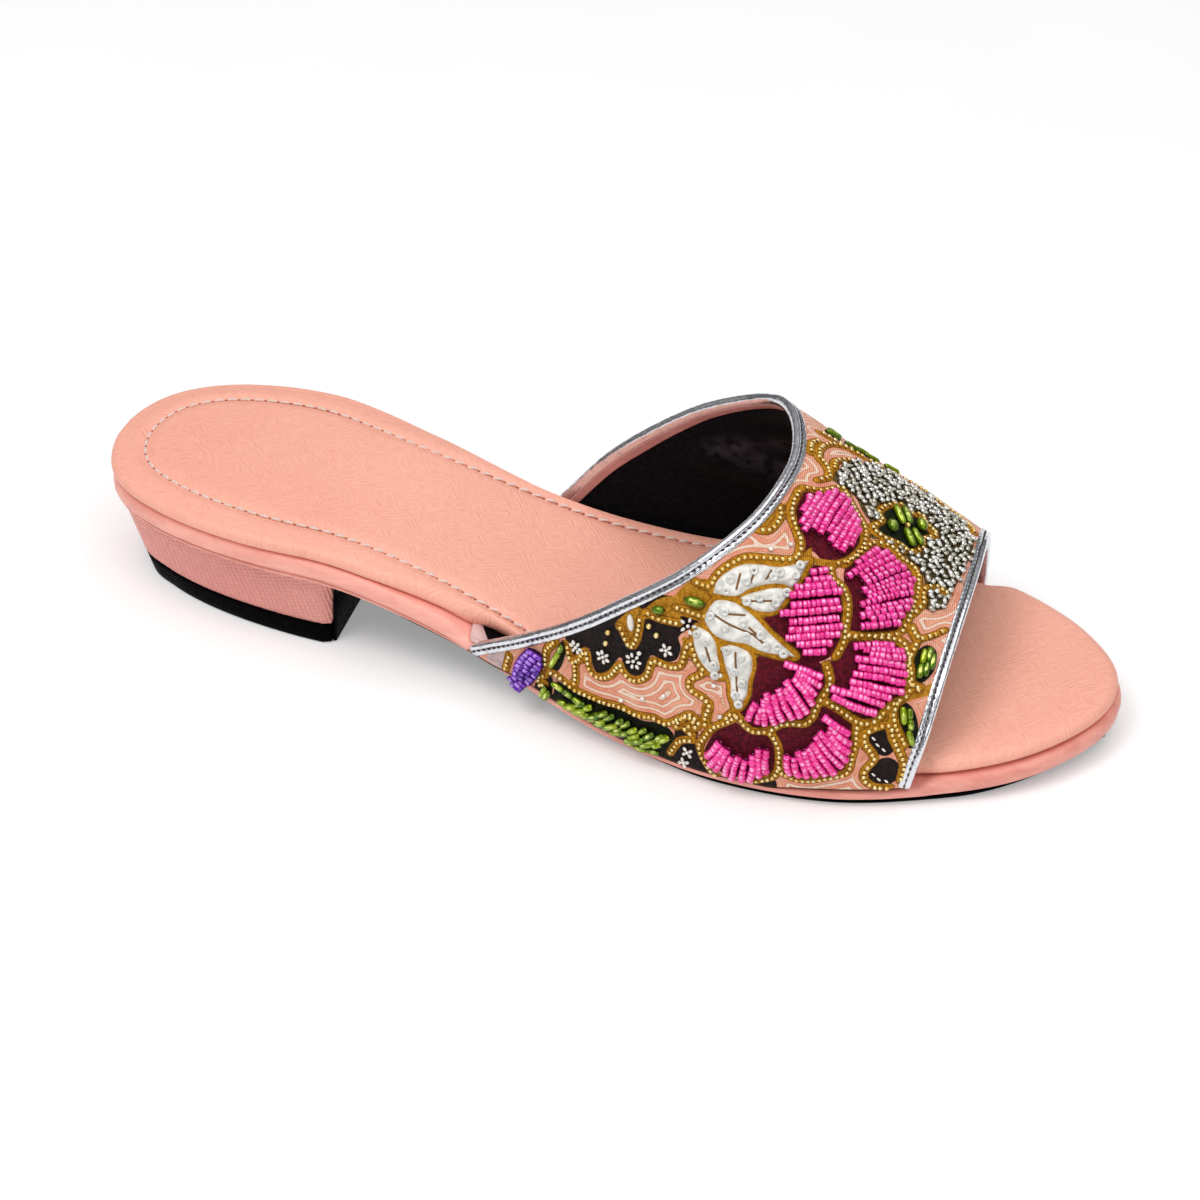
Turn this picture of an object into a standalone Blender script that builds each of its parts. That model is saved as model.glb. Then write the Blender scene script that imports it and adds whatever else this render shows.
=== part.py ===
"""Right slide flat: beaded vamp, open toe, padded insole, wrapped sole board and low block heel.

X runs from heel to toe, -Y is the outer (lateral) side and Z is up from the floor.
While modelling, X starts at the heel end. The parent empty then centres the shoe on its footprint.
"""

import math

import bmesh
import bpy
import numpy as np

MM = 0.001

# Driving sizes
SOLE_LENGTH = 252 * MM
BALL_WIDTH = 86 * MM
INSTEP_HEIGHT = 69 * MM
HEEL_LIFT = 20.8 * MM
TOE_SPRING = 3.0 * MM
WALL = 2.0 * MM
GAP = 0.3 * MM

# Sole stack
OUTSOLE_THICKNESS = 1.8 * MM
OUTSOLE_INSET = 1.6 * MM
TREAD_LIFT = OUTSOLE_THICKNESS + GAP
BOARD_AT_HEEL = 6.0 * MM
BOARD_AT_TOE = 4.6 * MM
PAD_THICKNESS = 3.4 * MM
PAD_INSET = 1.1 * MM
PAD_INSET_UNDER_UPPER = 3.7 * MM
SEAT_END = 60 * MM
TREAD_START = 153 * MM
TREAD_END = 205 * MM

# The board is recessed where the upper stands on it
RECESS = 2.0 * MM
RECESS_START = 98 * MM
RECESS_END = 220.5 * MM
RECESS_RAMP = 6 * MM

# Heel
TOP_PIECE = 5.8 * MM
HEEL_BREAST = 64 * MM
HEEL_BACK_AT_TOP = 1.8 * MM
HEEL_BACK_AT_FLOOR = 6 * MM
HEEL_SIDE_AT_TOP = 2.0 * MM
HEEL_SIDE_AT_FLOOR = 4.0 * MM
HEEL_WAIST = 1.5 * MM
BREAST_BEND = 4 * MM

# Binding and bead appliques
BINDING = 0.7 * MM
FLANGE = 2.2 * MM
BEAD_PAD = 1.4 * MM

# Sole outline: share of the length, lateral and medial half widths as shares of the ball width
SOLE_OUTLINE = np.array([
    (0.000, 0.000, 0.000),
    (0.030, 0.221, 0.221),
    (0.090, 0.320, 0.320),
    (0.180, 0.376, 0.350),
    (0.300, 0.391, 0.282),
    (0.430, 0.419, 0.296),
    (0.560, 0.507, 0.372),
    (0.670, 0.565, 0.428),
    (0.770, 0.547, 0.451),
    (0.860, 0.449, 0.421),
    (0.930, 0.335, 0.319),
    (0.975, 0.198, 0.188),
    (1.000, 0.000, 0.000),
])

# Top line of the arch: share of the length, height as a share of the instep, shift to the medial side in mm
RIDGE = np.array([
    (0.397, 1.290, -4.0),
    (0.516, 1.210, -4.0),
    (0.595, 1.120, -4.0),
    (0.659, 1.000, -4.0),
    (0.722, 0.838, -3.0),
    (0.790, 0.675, -1.0),
    (0.865, 0.486, 1.0),
])
ARCH_FULLNESS = 2.3

# Free edges of the upper: share of the girth from the lateral side, station from the heel end in mm
COLLAR_EDGE = np.array([
    (0.00, 106.5),
    (0.10, 126.0),
    (0.19, 143.2),
    (0.27, 158.2),
    (0.36, 169.0),
    (0.45, 173.0),
    (0.53, 172.4),
    (0.61, 167.0),
    (0.69, 156.5),
    (0.77, 139.0),
    (0.87, 121.0),
    (1.00, 105.5),
])
TOE_EDGE = np.array([
    (0.00, 212.0),
    (0.12, 214.6),
    (0.30, 215.8),
    (0.50, 215.4),
    (0.70, 213.6),
    (0.85, 211.6),
    (1.00, 210.6),
])

# Bead petals as fans on the upper: hub station and girth in mm, aim and half spread in degrees, radii in mm
PETALS = {
    "petal_1": (180.5, 43.5, 80.0, 17.5, 17.0, 29.5),
    "petal_2": (165.0, 43.7, 0.5, 21.5, 16.8, 27.6),
    "petal_3": (185.5, 43.5, 21.0, 36.5, 10.8, 20.3),
    "petal_4": (177.5, 37.5, -18.0, 18.5, 18.8, 31.0),
    "petal_5": (179.3, 31.3, -60.0, 52.0, 6.5, 14.8),
    "petal_6": (177.5, 25.0, -97.0, 24.0, 16.0, 24.0),
    "petal_7": (178.7, 31.0, -54.0, 20.0, 19.0, 28.0),
}

# Leaves on the upper: station and girth of base and tip in mm, half width in mm, bluntness of the ends
LEAVES = {
    "white_leaf_1": (165.2, 46.0, 182.8, 55.0, 3.0, 0.7),
    "white_leaf_2": (170.8, 44.6, 180.6, 46.0, 1.8, 0.5),
    "white_leaf_3": (164.6, 41.0, 184.8, 33.0, 3.8, 0.7),
    "white_leaf_4": (162.6, 36.2, 168.8, 26.0, 2.8, 0.7),
    "white_leaf_5": (171.4, 33.8, 173.6, 18.9, 3.0, 0.6),
    "green_leaf": (127.8, 2.6, 159.0, 5.4, 3.4, 0.5),
    "purple_flower": (118.4, 0.9, 125.0, 11.4, 2.2, 0.5),
}

# Silver bead field on the upper: girth, then the stations where it starts and ends, in mm
SILVER_FIELD = np.array([
    (46.0, 208.0, 211.0),
    (52.0, 206.0, 212.0),
    (58.0, 203.5, 212.2),
    (64.0, 204.5, 212.2),
    (70.0, 205.5, 211.8),
    (76.0, 203.5, 210.5),
    (80.0, 199.0, 209.8),
    (84.0, 187.0, 208.5),
    (88.0, 184.5, 205.5),
    (92.0, 185.5, 200.0),
    (96.0, 188.0, 196.0),
])

PEACH_LEATHER = (0.83, 0.42, 0.34, 1)
PEACH_CLOTH = (0.85, 0.46, 0.33, 1)
BLACK_RUBBER = (0.015, 0.015, 0.015, 1)
SILVER = (0.72, 0.73, 0.76, 1)
PINK_BEADS = (0.78, 0.08, 0.36, 1)
WHITE_BEADS = (0.85, 0.85, 0.82, 1)
GREEN_BEADS = (0.30, 0.45, 0.05, 1)
PURPLE_BEADS = (0.28, 0.10, 0.55, 1)
GREY_BEADS = (0.55, 0.54, 0.48, 1)


# Curves and sections

def smooth(at, knots, values):
    """Cubic curve through a table's rows, each row's slope taken from its neighbours."""
    slopes = np.gradient(values, knots)
    row = np.clip(np.searchsorted(knots, at) - 1, 0, len(knots) - 2)
    span = knots[row + 1] - knots[row]
    t = (at - knots[row]) / span
    start = (1 + 2 * t) * (1 - t) ** 2 * values[row] + t * (1 - t) ** 2 * span * slopes[row]
    end = t * t * (3 - 2 * t) * values[row + 1] + t * t * (t - 1) * span * slopes[row + 1]
    return start + end


def ease(t):
    """Smooth step from 0 to 1."""
    t = np.clip(t, 0, 1)
    return t * t * (3 - 2 * t)


def turn(share):
    """Angle that spreads the two ends of the outline, so that they come out round."""
    return np.arccos(np.clip(1 - 2 * share, -1, 1))


def half_widths(x):
    """Lateral and medial half widths of the sole at a station."""
    share = np.asarray(x) / SOLE_LENGTH
    rows = turn(SOLE_OUTLINE[:, 0])
    lateral = smooth(turn(share), rows, SOLE_OUTLINE[:, 1]) * BALL_WIDTH
    medial = smooth(turn(share), rows, SOLE_OUTLINE[:, 2]) * BALL_WIDTH
    return lateral, medial


def arch_fall(x):
    """0 on the heel seat, 1 on the tread."""
    return ease((x - SEAT_END) / (TREAD_START - SEAT_END))


def board_under(x):
    """Underside of the sole board: level seat, arch, level tread, toe spring."""
    fall = arch_fall(x)
    spring = np.clip((x - TREAD_END) / (SOLE_LENGTH - TREAD_END), 0, 1) ** 2
    return HEEL_LIFT * (1 - fall) + TREAD_LIFT * fall + TOE_SPRING * spring


def board_full(x):
    """Top of the sole board before the recess for the upper."""
    fall = arch_fall(x)
    return board_under(x) + BOARD_AT_HEEL * (1 - fall) + BOARD_AT_TOE * fall


def under_upper(x):
    """1 where the upper stands on the board, 0 at heel and toe."""
    return ease((x - RECESS_START) / RECESS_RAMP) * ease((RECESS_END - x) / RECESS_RAMP)


def board_over(x):
    """Top of the sole board with the recess."""
    return board_full(x) - RECESS * under_upper(x)


def arch_section(x):
    """Outer arch of the upper at one station: y, z and girth from the lateral side."""
    share = x / SOLE_LENGTH
    lateral, medial = half_widths(x)
    foot = board_over(x) + GAP
    top = smooth(share, RIDGE[:, 0], RIDGE[:, 1]) * INSTEP_HEIGHT
    apex = smooth(share, RIDGE[:, 0], RIDGE[:, 2]) * MM
    angle = np.linspace(0, math.pi, 181)
    across = np.cos(angle)
    reach = np.where(across > 0, lateral + apex, medial - apex)
    y = apex - reach * np.sign(across) * np.abs(across) ** (2 / ARCH_FULLNESS)
    z = foot + (top - foot) * np.abs(np.sin(angle)) ** (2 / ARCH_FULLNESS)
    girth = np.concatenate(([0], np.cumsum(np.hypot(np.diff(y), np.diff(z)))))
    return y, z, girth


def on_arch(x, share):
    """Point of the upper's outer surface at a station and a share of the girth."""
    y, z, girth = arch_section(x)
    at = share * girth[-1]
    return np.array((x, np.interp(at, girth, y), np.interp(at, girth, z)))


def arch_normal(x, share):
    """Outward normal of the upper's outer surface."""
    step = 0.01
    low = max(share - step, 0)
    high = min(share + step, 1)
    along = on_arch(x + MM, share) - on_arch(x - MM, share)
    around = on_arch(x, high) - on_arch(x, low)
    normal = np.cross(along, around)
    return normal / np.linalg.norm(normal)


def charted(station, girth, lift):
    """Point above the upper at a station and a girth from the lateral side, both in metres."""
    share = girth / arch_section(station)[2][-1]
    return on_arch(station, share) + arch_normal(station, share) * lift


# Mesh tools

def clear_scene():
    for existing in list(bpy.data.objects):
        bpy.data.objects.remove(existing, do_unlink=True)


def make_material(name, color, roughness, metallic=0.0):
    material = bpy.data.materials.new(name)
    material.use_nodes = True
    shader = material.node_tree.nodes["Principled BSDF"]
    shader.inputs["Base Color"].default_value = color
    shader.inputs["Roughness"].default_value = roughness
    shader.inputs["Metallic"].default_value = metallic
    return material


def add_piece(name, mesh, color, roughness, metallic=0.0):
    """Turn a bmesh into a named object with its own material, under the shoe's empty."""
    bmesh.ops.recalc_face_normals(mesh, faces=mesh.faces)
    data = bpy.data.meshes.new(name)
    mesh.to_mesh(data)
    mesh.free()
    piece = bpy.data.objects.new(name, data)
    piece.data.materials.append(make_material(name, color, roughness, metallic))
    bpy.data.collections["beaded_flat"].objects.link(piece)
    piece.parent = bpy.data.objects["shoe"]
    return piece


def loft(rings):
    """Closed mesh through rings of equal count, with ladder caps between their two halves."""
    mesh = bmesh.new()
    rows = [[mesh.verts.new(point) for point in ring] for ring in rings]
    count = len(rows[0])
    for lower, upper in zip(rows, rows[1:]):
        for k in range(count):
            after = (k + 1) % count
            mesh.faces.new((lower[k], lower[after], upper[after], upper[k]))
    for row in (rows[0], rows[-1]):
        for k in range(count // 2 - 1):
            mesh.faces.new((row[k], row[k + 1], row[count - 2 - k], row[count - 1 - k]))
    return mesh


def grid_piece(name, along, across, place, thickness, outward, color, roughness):
    """Shell from a grid: place(s, t) maps the unit square to the surface, Solidify gives the wall."""
    mesh = bmesh.new()
    bmesh.ops.create_grid(mesh, x_segments=along, y_segments=across, size=0.5)
    for vert in mesh.verts:
        vert.co = place(vert.co.x + 0.5, vert.co.y + 0.5)
    bmesh.ops.remove_doubles(mesh, verts=mesh.verts, dist=0.02 * MM)
    data = bpy.data.meshes.new(name)
    mesh.to_mesh(data)
    mesh.free()
    piece = bpy.data.objects.new(name, data)
    piece.data.materials.append(make_material(name, color, roughness))
    bpy.data.collections["beaded_flat"].objects.link(piece)
    piece.parent = bpy.data.objects["shoe"]
    wall = piece.modifiers.new("wall", "SOLIDIFY")
    wall.thickness = thickness
    wall.offset = 1 if outward else -1
    return piece


# Sole

def outline_ring(inset, height):
    """Ring round the sole outline, lateral side out and medial side back."""
    angle = np.linspace(0.08, math.pi - 0.08, 40)
    share = (1 - np.cos(angle)) / 2
    x = share * SOLE_LENGTH
    lateral, medial = half_widths(x)
    side = np.clip(2 * np.sin(angle), 0, 1)
    room = inset(x)
    end = room[0] + (SOLE_LENGTH - room[0] - room[-1]) * share
    z = height(x)
    out = np.column_stack((end, -(lateral - room * side), z))
    back = np.column_stack((end, medial - room * side, z))
    return np.concatenate((out, back[::-1]))


def rounded_slab(under, over, inset, rounding):
    """Slab between two height functions, with its rim rounded by a few rings."""
    rings = []
    for turned in (90, 45, 0):
        draw_in = rounding * (1 - math.cos(math.radians(turned)))
        rise = rounding * (1 - math.sin(math.radians(turned)))
        rings.append(outline_ring(lambda x: inset(x) + draw_in, lambda x: under(x) + rise))
    for turned in (0, 45, 90):
        draw_in = rounding * (1 - math.cos(math.radians(turned)))
        drop = rounding * (1 - math.sin(math.radians(turned)))
        rings.append(outline_ring(lambda x: inset(x) + draw_in, lambda x: over(x) - drop))
    return loft(rings)


def build_sole_board():
    mesh = rounded_slab(board_under, board_over, lambda x: np.zeros_like(x), 1.2 * MM)
    add_piece("sole_board", mesh, PEACH_LEATHER, 0.5)


def build_insole():
    def inset(x):
        return PAD_INSET + (PAD_INSET_UNDER_UPPER - PAD_INSET) * under_upper(x)

    def under(x):
        return board_over(x) + GAP

    def over(x):
        return board_full(x) + GAP + PAD_THICKNESS

    mesh = rounded_slab(under, over, inset, 1.5 * MM)
    add_piece("insole", mesh, PEACH_LEATHER, 0.5)


def build_outsole():
    """Thin sheet from the toe to the heel, bent down over the heel's breast."""
    face = HEEL_BREAST + GAP
    bend_end = face + OUTSOLE_THICKNESS + BREAST_BEND
    toe_to_bend = 1 - np.linspace(0, 1, 36) ** 1.6
    x = bend_end + (SOLE_LENGTH - 2.0 * MM - bend_end) * toe_to_bend
    upper_line = [(s, board_under(s) - GAP, 0.0, 1.0) for s in x]
    corner = board_under(bend_end) - GAP - BREAST_BEND - OUTSOLE_THICKNESS
    radius = BREAST_BEND + OUTSOLE_THICKNESS
    for degrees in (22.5, 45, 67.5, 90):
        lean = math.radians(degrees)
        upper_line.append((bend_end - radius * math.sin(lean), corner + radius * math.cos(lean),
                           -math.sin(lean), math.cos(lean)))
    upper_line.append((face, 0.6 * MM, -1.0, 0.0))
    breast_room = HEEL_SIDE_AT_TOP + HEEL_WAIST
    rings = []
    for x_at, z_at, lean_x, lean_z in upper_line:
        lateral, medial = half_widths(min(x_at, SOLE_LENGTH - 2.2 * MM))
        room = OUTSOLE_INSET
        if x_at < bend_end + 20 * MM:
            room += (breast_room - OUTSOLE_INSET) * ease((bend_end + 20 * MM - x_at) / (20 * MM))
        if x_at < face + 0.1 * MM:
            room += (HEEL_SIDE_AT_FLOOR - HEEL_SIDE_AT_TOP) * (1 - z_at / HEEL_LIFT)
        low_x = x_at - lean_x * OUTSOLE_THICKNESS
        low_z = z_at - lean_z * OUTSOLE_THICKNESS
        near = max(lateral - room, 2 * MM)
        far = max(medial - room, 2 * MM)
        rings.append(((x_at, -near, z_at), (x_at, far, z_at), (low_x, far, low_z), (low_x, -near, low_z)))
    add_piece("outsole", loft(rings), BLACK_RUBBER, 0.6)


def heel_ring(z):
    """D-shaped ring of the heel at a height, under the board, its straight side at the breast."""
    rise = z / HEEL_LIFT
    back = HEEL_BACK_AT_FLOOR + (HEEL_BACK_AT_TOP - HEEL_BACK_AT_FLOOR) * rise
    side = HEEL_SIDE_AT_FLOOR + (HEEL_SIDE_AT_TOP - HEEL_SIDE_AT_FLOOR) * rise
    along = np.linspace(0.05, 1, 20) ** 2
    x = back + (HEEL_BREAST - back) * along
    lateral, medial = half_widths(x - back)
    room = side * ease((x - back) / (12 * MM)) + HEEL_WAIST * along
    height = np.minimum(z, board_under(x) - GAP)
    out = np.column_stack((x, -(lateral - room), height))
    inner = np.column_stack((x, medial - room, height))
    return np.concatenate((out, inner[::-1]))


def build_heel():
    floor_rings = [heel_ring(0.0), heel_ring(TOP_PIECE)]
    add_piece("heel_top_piece", loft(floor_rings), BLACK_RUBBER, 0.6)
    block_rings = [heel_ring(TOP_PIECE + GAP), heel_ring(HEEL_LIFT - GAP)]
    add_piece("heel_block", loft(block_rings), PEACH_LEATHER, 0.5)


# Upper

def edge_station(table, share):
    """Station of a free edge of the upper at a share of the girth."""
    return smooth(share, table[:, 0], table[:, 1]) * MM


def build_upper():
    def place(s, t):
        collar = edge_station(COLLAR_EDGE, t)
        toe = edge_station(TOE_EDGE, t)
        return on_arch(collar + (toe - collar) * s, t)

    grid_piece("upper", 12, 44, place, WALL, False, PEACH_CLOTH, 0.8)


def build_binding(name, table, inward, steps):
    """Silver strip folded round a free edge: flange outside, rounded fold, flange inside."""
    over = GAP + BINDING
    inner = WALL + GAP
    outside = ((FLANGE, over), (0.2 * MM, over + 0.2 * MM), (-1.0 * MM, 0.0), (-1.0 * MM, -WALL),
               (0.2 * MM, -inner - BINDING - 0.2 * MM), (FLANGE, -inner - BINDING))
    inside = ((FLANGE, -inner), (0.6 * MM, -inner), (-GAP, -WALL), (-GAP, 0.0),
              (0.6 * MM, GAP), (FLANGE, GAP))
    rings = []
    for share in np.linspace(0.003, 0.997, steps):
        edge = edge_station(table, share)
        ahead = on_arch(edge_station(table, min(share + 0.01, 1)), min(share + 0.01, 1))
        behind = on_arch(edge_station(table, max(share - 0.01, 0)), max(share - 0.01, 0))
        run = ahead - behind
        lean = abs(run[0]) / np.linalg.norm(run)
        stretch = 1 / max(math.sqrt(1 - lean * lean), 0.6)
        ring = []
        for along, lift in outside + inside:
            station = edge + inward * along * stretch
            ring.append(on_arch(station, share) + arch_normal(edge, share) * lift)
        rings.append(ring)
    add_piece(name, loft(rings), SILVER, 0.25, 0.9)


# Bead appliques

def build_petals():
    for name, (hub_x, hub_girth, aim, spread, inner, outer) in PETALS.items():
        def place(s, t):
            across = 2 * t - 1
            corner = (1 - abs(across) ** 3) ** (1 / 3)
            radius = (inner + outer) / 2 + (outer - inner) * (s - 0.5) * corner
            angle = math.radians(aim + spread * across)
            station = (hub_x + radius * math.cos(angle)) * MM
            girth = (hub_girth + radius * math.sin(angle)) * MM
            return charted(station, girth, GAP)

        grid_piece(name, 3, 14, place, BEAD_PAD, True, PINK_BEADS, 0.35)


def build_leaves():
    colors = {"white": WHITE_BEADS, "green": GREEN_BEADS, "purple": PURPLE_BEADS}
    for name, (base_x, base_girth, tip_x, tip_girth, half, blunt) in LEAVES.items():
        run_x = tip_x - base_x
        run_girth = tip_girth - base_girth
        length = math.hypot(run_x, run_girth)

        def place(s, t):
            width = half * math.sin(math.pi * s) ** blunt * (2 * t - 1)
            station = (base_x + run_x * s - run_girth / length * width) * MM
            girth = (base_girth + run_girth * s + run_x / length * width) * MM
            return charted(station, girth, GAP)

        grid_piece(name, 11, 2, place, BEAD_PAD, True, colors[name.split("_")[0]], 0.35)


def build_silver_field():
    def place(s, t):
        low = SILVER_FIELD[0, 0]
        girth = low + (SILVER_FIELD[-1, 0] - low) * t
        start = smooth(girth, SILVER_FIELD[:, 0], SILVER_FIELD[:, 1])
        end = smooth(girth, SILVER_FIELD[:, 0], SILVER_FIELD[:, 2])
        return charted((start + (end - start) * s) * MM, girth * MM, GAP)

    grid_piece("silver_bead_field", 5, 14, place, BEAD_PAD, True, GREY_BEADS, 0.3)


def centre_on_footprint():
    """Move the parent empty so that the origin is under the middle of the shoe's box."""
    bpy.context.view_layer.update()
    graph = bpy.context.evaluated_depsgraph_get()
    corners = []
    for piece in bpy.data.collections["beaded_flat"].objects:
        if piece.type == "MESH":
            evaluated = piece.evaluated_get(graph)
            corners.extend(evaluated.matrix_world @ vert.co for vert in evaluated.data.vertices)
    box = np.array(corners)
    low = box.min(axis=0)
    high = box.max(axis=0)
    bpy.data.objects["shoe"].location = (-(low[0] + high[0]) / 2, -(low[1] + high[1]) / 2, -low[2])
    bpy.context.view_layer.update()


def main():
    clear_scene()
    collection = bpy.data.collections.new("beaded_flat")
    bpy.context.scene.collection.children.link(collection)
    shoe = bpy.data.objects.new("shoe", None)
    collection.objects.link(shoe)
    build_outsole()
    build_sole_board()
    build_heel()
    build_insole()
    build_upper()
    build_binding("collar_binding", COLLAR_EDGE, 1, 46)
    build_binding("toe_binding", TOE_EDGE, -1, 36)
    build_petals()
    build_leaves()
    build_silver_field()
    centre_on_footprint()


main()
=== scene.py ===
"""Dressed scene of a beaded flat for the right foot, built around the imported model.

Lengths are in mm in the modelling frame: X from the heel end, -Y lateral, Z up from the floor.
On the upper, a chart gives each place by its station from the heel end and its girth from the lateral foot.
"""

import math

import bmesh
import bpy
import numpy as np
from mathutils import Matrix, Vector


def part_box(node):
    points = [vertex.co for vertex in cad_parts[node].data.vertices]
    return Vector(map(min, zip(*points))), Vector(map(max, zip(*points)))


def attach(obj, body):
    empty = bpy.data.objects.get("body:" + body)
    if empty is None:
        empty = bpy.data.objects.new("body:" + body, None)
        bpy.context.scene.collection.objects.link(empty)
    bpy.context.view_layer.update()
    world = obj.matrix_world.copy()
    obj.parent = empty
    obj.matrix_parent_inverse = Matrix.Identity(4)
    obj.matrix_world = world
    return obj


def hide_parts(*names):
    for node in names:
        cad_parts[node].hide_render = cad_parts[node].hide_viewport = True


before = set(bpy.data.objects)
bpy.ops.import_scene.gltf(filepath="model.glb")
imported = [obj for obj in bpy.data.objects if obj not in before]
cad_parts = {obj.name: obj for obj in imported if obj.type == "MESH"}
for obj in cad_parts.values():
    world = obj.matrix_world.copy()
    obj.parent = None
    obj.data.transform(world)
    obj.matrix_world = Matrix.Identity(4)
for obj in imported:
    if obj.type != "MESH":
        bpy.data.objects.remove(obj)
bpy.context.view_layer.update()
MM = 0.001
random = np.random.default_rng(11)

# Driving sizes, as in the model
SOLE_LENGTH = 252.0
BALL_WIDTH = 86.0
INSTEP_HEIGHT = 69.0
HEEL_LIFT = 20.8
TOE_SPRING = 3.0
WALL = 2.0
GAP = 0.3
OUTSOLE_THICKNESS = 1.8
OUTSOLE_INSET = 1.6
TREAD_LIFT = OUTSOLE_THICKNESS + GAP
BOARD_AT_HEEL = 6.0
BOARD_AT_TOE = 4.6
PAD_THICKNESS = 3.4
PAD_INSET = 1.1
PAD_INSET_UNDER_UPPER = 3.7
SEAT_END = 60.0
TREAD_START = 153.0
TREAD_END = 205.0
RECESS = 2.0
RECESS_START = 98.0
RECESS_END = 220.5
RECESS_RAMP = 6.0
TOP_PIECE = 5.8
HEEL_BREAST = 64.0
HEEL_BACK_AT_TOP = 1.8
HEEL_BACK_AT_FLOOR = 6.0
HEEL_SIDE_AT_TOP = 2.0
HEEL_SIDE_AT_FLOOR = 4.0
HEEL_WAIST = 1.5
BREAST_BEND = 4.0
ARCH_FULLNESS = 2.3

# Small departures from the model, read from the photo
PAD_INSET_AT_HEEL = -0.1
PAD_TOP = PAD_THICKNESS + 0.2
PAD_CROWN = 0.9
PAD_TROUGH = 0.75
HEEL_TUCK_AT_TOP = 0.9
HEEL_TUCK_AT_FLOOR = 3.6
BREAST_LEAD_AT_TOP = 3.4
BREAST_LEAD_AT_FLOOR = 2.04
LATERAL_FULLNESS = 1.6
OUTSOLE_ROOM_AT_TOE = 3.0
OUTSOLE_ROOM_AT_WAIST = 0.9
EDGE_WALL = 1.4

# Sole outline: share of the length, lateral and medial half widths as shares of the ball width
SOLE_OUTLINE = np.array([
    (0.000, 0.000, 0.000),
    (0.030, 0.221, 0.221),
    (0.090, 0.320, 0.320),
    (0.180, 0.376, 0.350),
    (0.300, 0.391, 0.282),
    (0.430, 0.419, 0.296),
    (0.560, 0.507, 0.372),
    (0.670, 0.565, 0.428),
    (0.770, 0.547, 0.451),
    (0.860, 0.449, 0.421),
    (0.930, 0.335, 0.319),
    (0.975, 0.198, 0.188),
    (1.000, 0.000, 0.000),
])

# Top line of the arch: share of the length, height as a share of the instep, shift to the medial side
RIDGE = np.array([
    (0.397, 1.290, -4.0),
    (0.516, 1.210, -4.0),
    (0.595, 1.120, -4.0),
    (0.659, 1.000, -4.0),
    (0.722, 0.838, -3.0),
    (0.790, 0.675, -1.0),
    (0.865, 0.486, 1.0),
])

# Free edges of the upper: share of the girth from the lateral side, station from the heel end
COLLAR_EDGE = np.array([
    (-0.02, 102.6), (0.00, 106.5), (0.10, 126.0), (0.19, 143.2), (0.27, 158.2), (0.36, 169.0),
    (0.45, 173.0), (0.53, 172.4), (0.61, 167.0), (0.69, 156.5), (0.77, 139.0), (0.87, 121.0), (1.00, 105.5),
])
TOE_EDGE = np.array([
    (0.00, 212.0), (0.12, 214.6), (0.30, 215.8), (0.50, 215.4), (0.70, 213.6), (0.85, 211.6), (1.00, 210.6),
])


# Curves and sections

def smooth(at, knots, values):
    """Cubic curve through a table's rows, each row's slope taken from its neighbours."""
    slopes = np.gradient(values, knots)
    row = np.clip(np.searchsorted(knots, at) - 1, 0, len(knots) - 2)
    span = knots[row + 1] - knots[row]
    t = (at - knots[row]) / span
    start = (1 + 2 * t) * (1 - t) ** 2 * values[row] + t * (1 - t) ** 2 * span * slopes[row]
    end = t * t * (3 - 2 * t) * values[row + 1] + t * t * (t - 1) * span * slopes[row + 1]
    return start + end


def ease(t):
    """Smooth step from 0 to 1."""
    t = np.clip(t, 0, 1)
    return t * t * (3 - 2 * t)


def unit(vectors):
    return vectors / np.maximum(np.linalg.norm(vectors, axis=-1, keepdims=True), 1e-9)


def lengths_along(path):
    """Distance of each point of a path from its start, measured along it."""
    return np.concatenate(([0], np.cumsum(np.linalg.norm(np.diff(path, axis=0), axis=1))))


def points_at(at, lengths, path):
    """Points of a path at given distances along it."""
    return np.column_stack([np.interp(at, lengths, column) for column in path.T])


def cosine_shares(count, end=0.0):
    """Shares from 0 to 1 that lie closer together near both ends."""
    return (1 - np.cos(np.linspace(end, math.pi - end, count))) / 2


def half_widths(x):
    """Lateral and medial half widths of the sole at a station."""
    rows = np.arccos(1 - 2 * SOLE_OUTLINE[:, 0])
    angle = np.arccos(np.clip(1 - 2 * np.asarray(x) / SOLE_LENGTH, -1, 1))
    lateral = smooth(angle, rows, SOLE_OUTLINE[:, 1]) * BALL_WIDTH
    medial = smooth(angle, rows, SOLE_OUTLINE[:, 2]) * BALL_WIDTH
    return lateral, medial


def arch_fall(x):
    """0 on the heel seat, 1 on the tread."""
    return ease((x - SEAT_END) / (TREAD_START - SEAT_END))


def board_under(x):
    """Underside of the sole board: level seat, arch, level tread, toe spring."""
    fall = arch_fall(x)
    spring = np.clip((x - TREAD_END) / (SOLE_LENGTH - TREAD_END), 0, 1) ** 2
    return HEEL_LIFT * (1 - fall) + TREAD_LIFT * fall + TOE_SPRING * spring


def board_full(x):
    """Top of the sole board before the recess for the upper."""
    fall = arch_fall(x)
    return board_under(x) + BOARD_AT_HEEL * (1 - fall) + BOARD_AT_TOE * fall


def under_upper(x):
    """1 where the upper stands on the board, 0 at heel and toe."""
    return ease((x - RECESS_START) / RECESS_RAMP) * ease((RECESS_END - x) / RECESS_RAMP)


def board_over(x):
    """Top of the sole board with the recess."""
    return board_full(x) - RECESS * under_upper(x)


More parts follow.
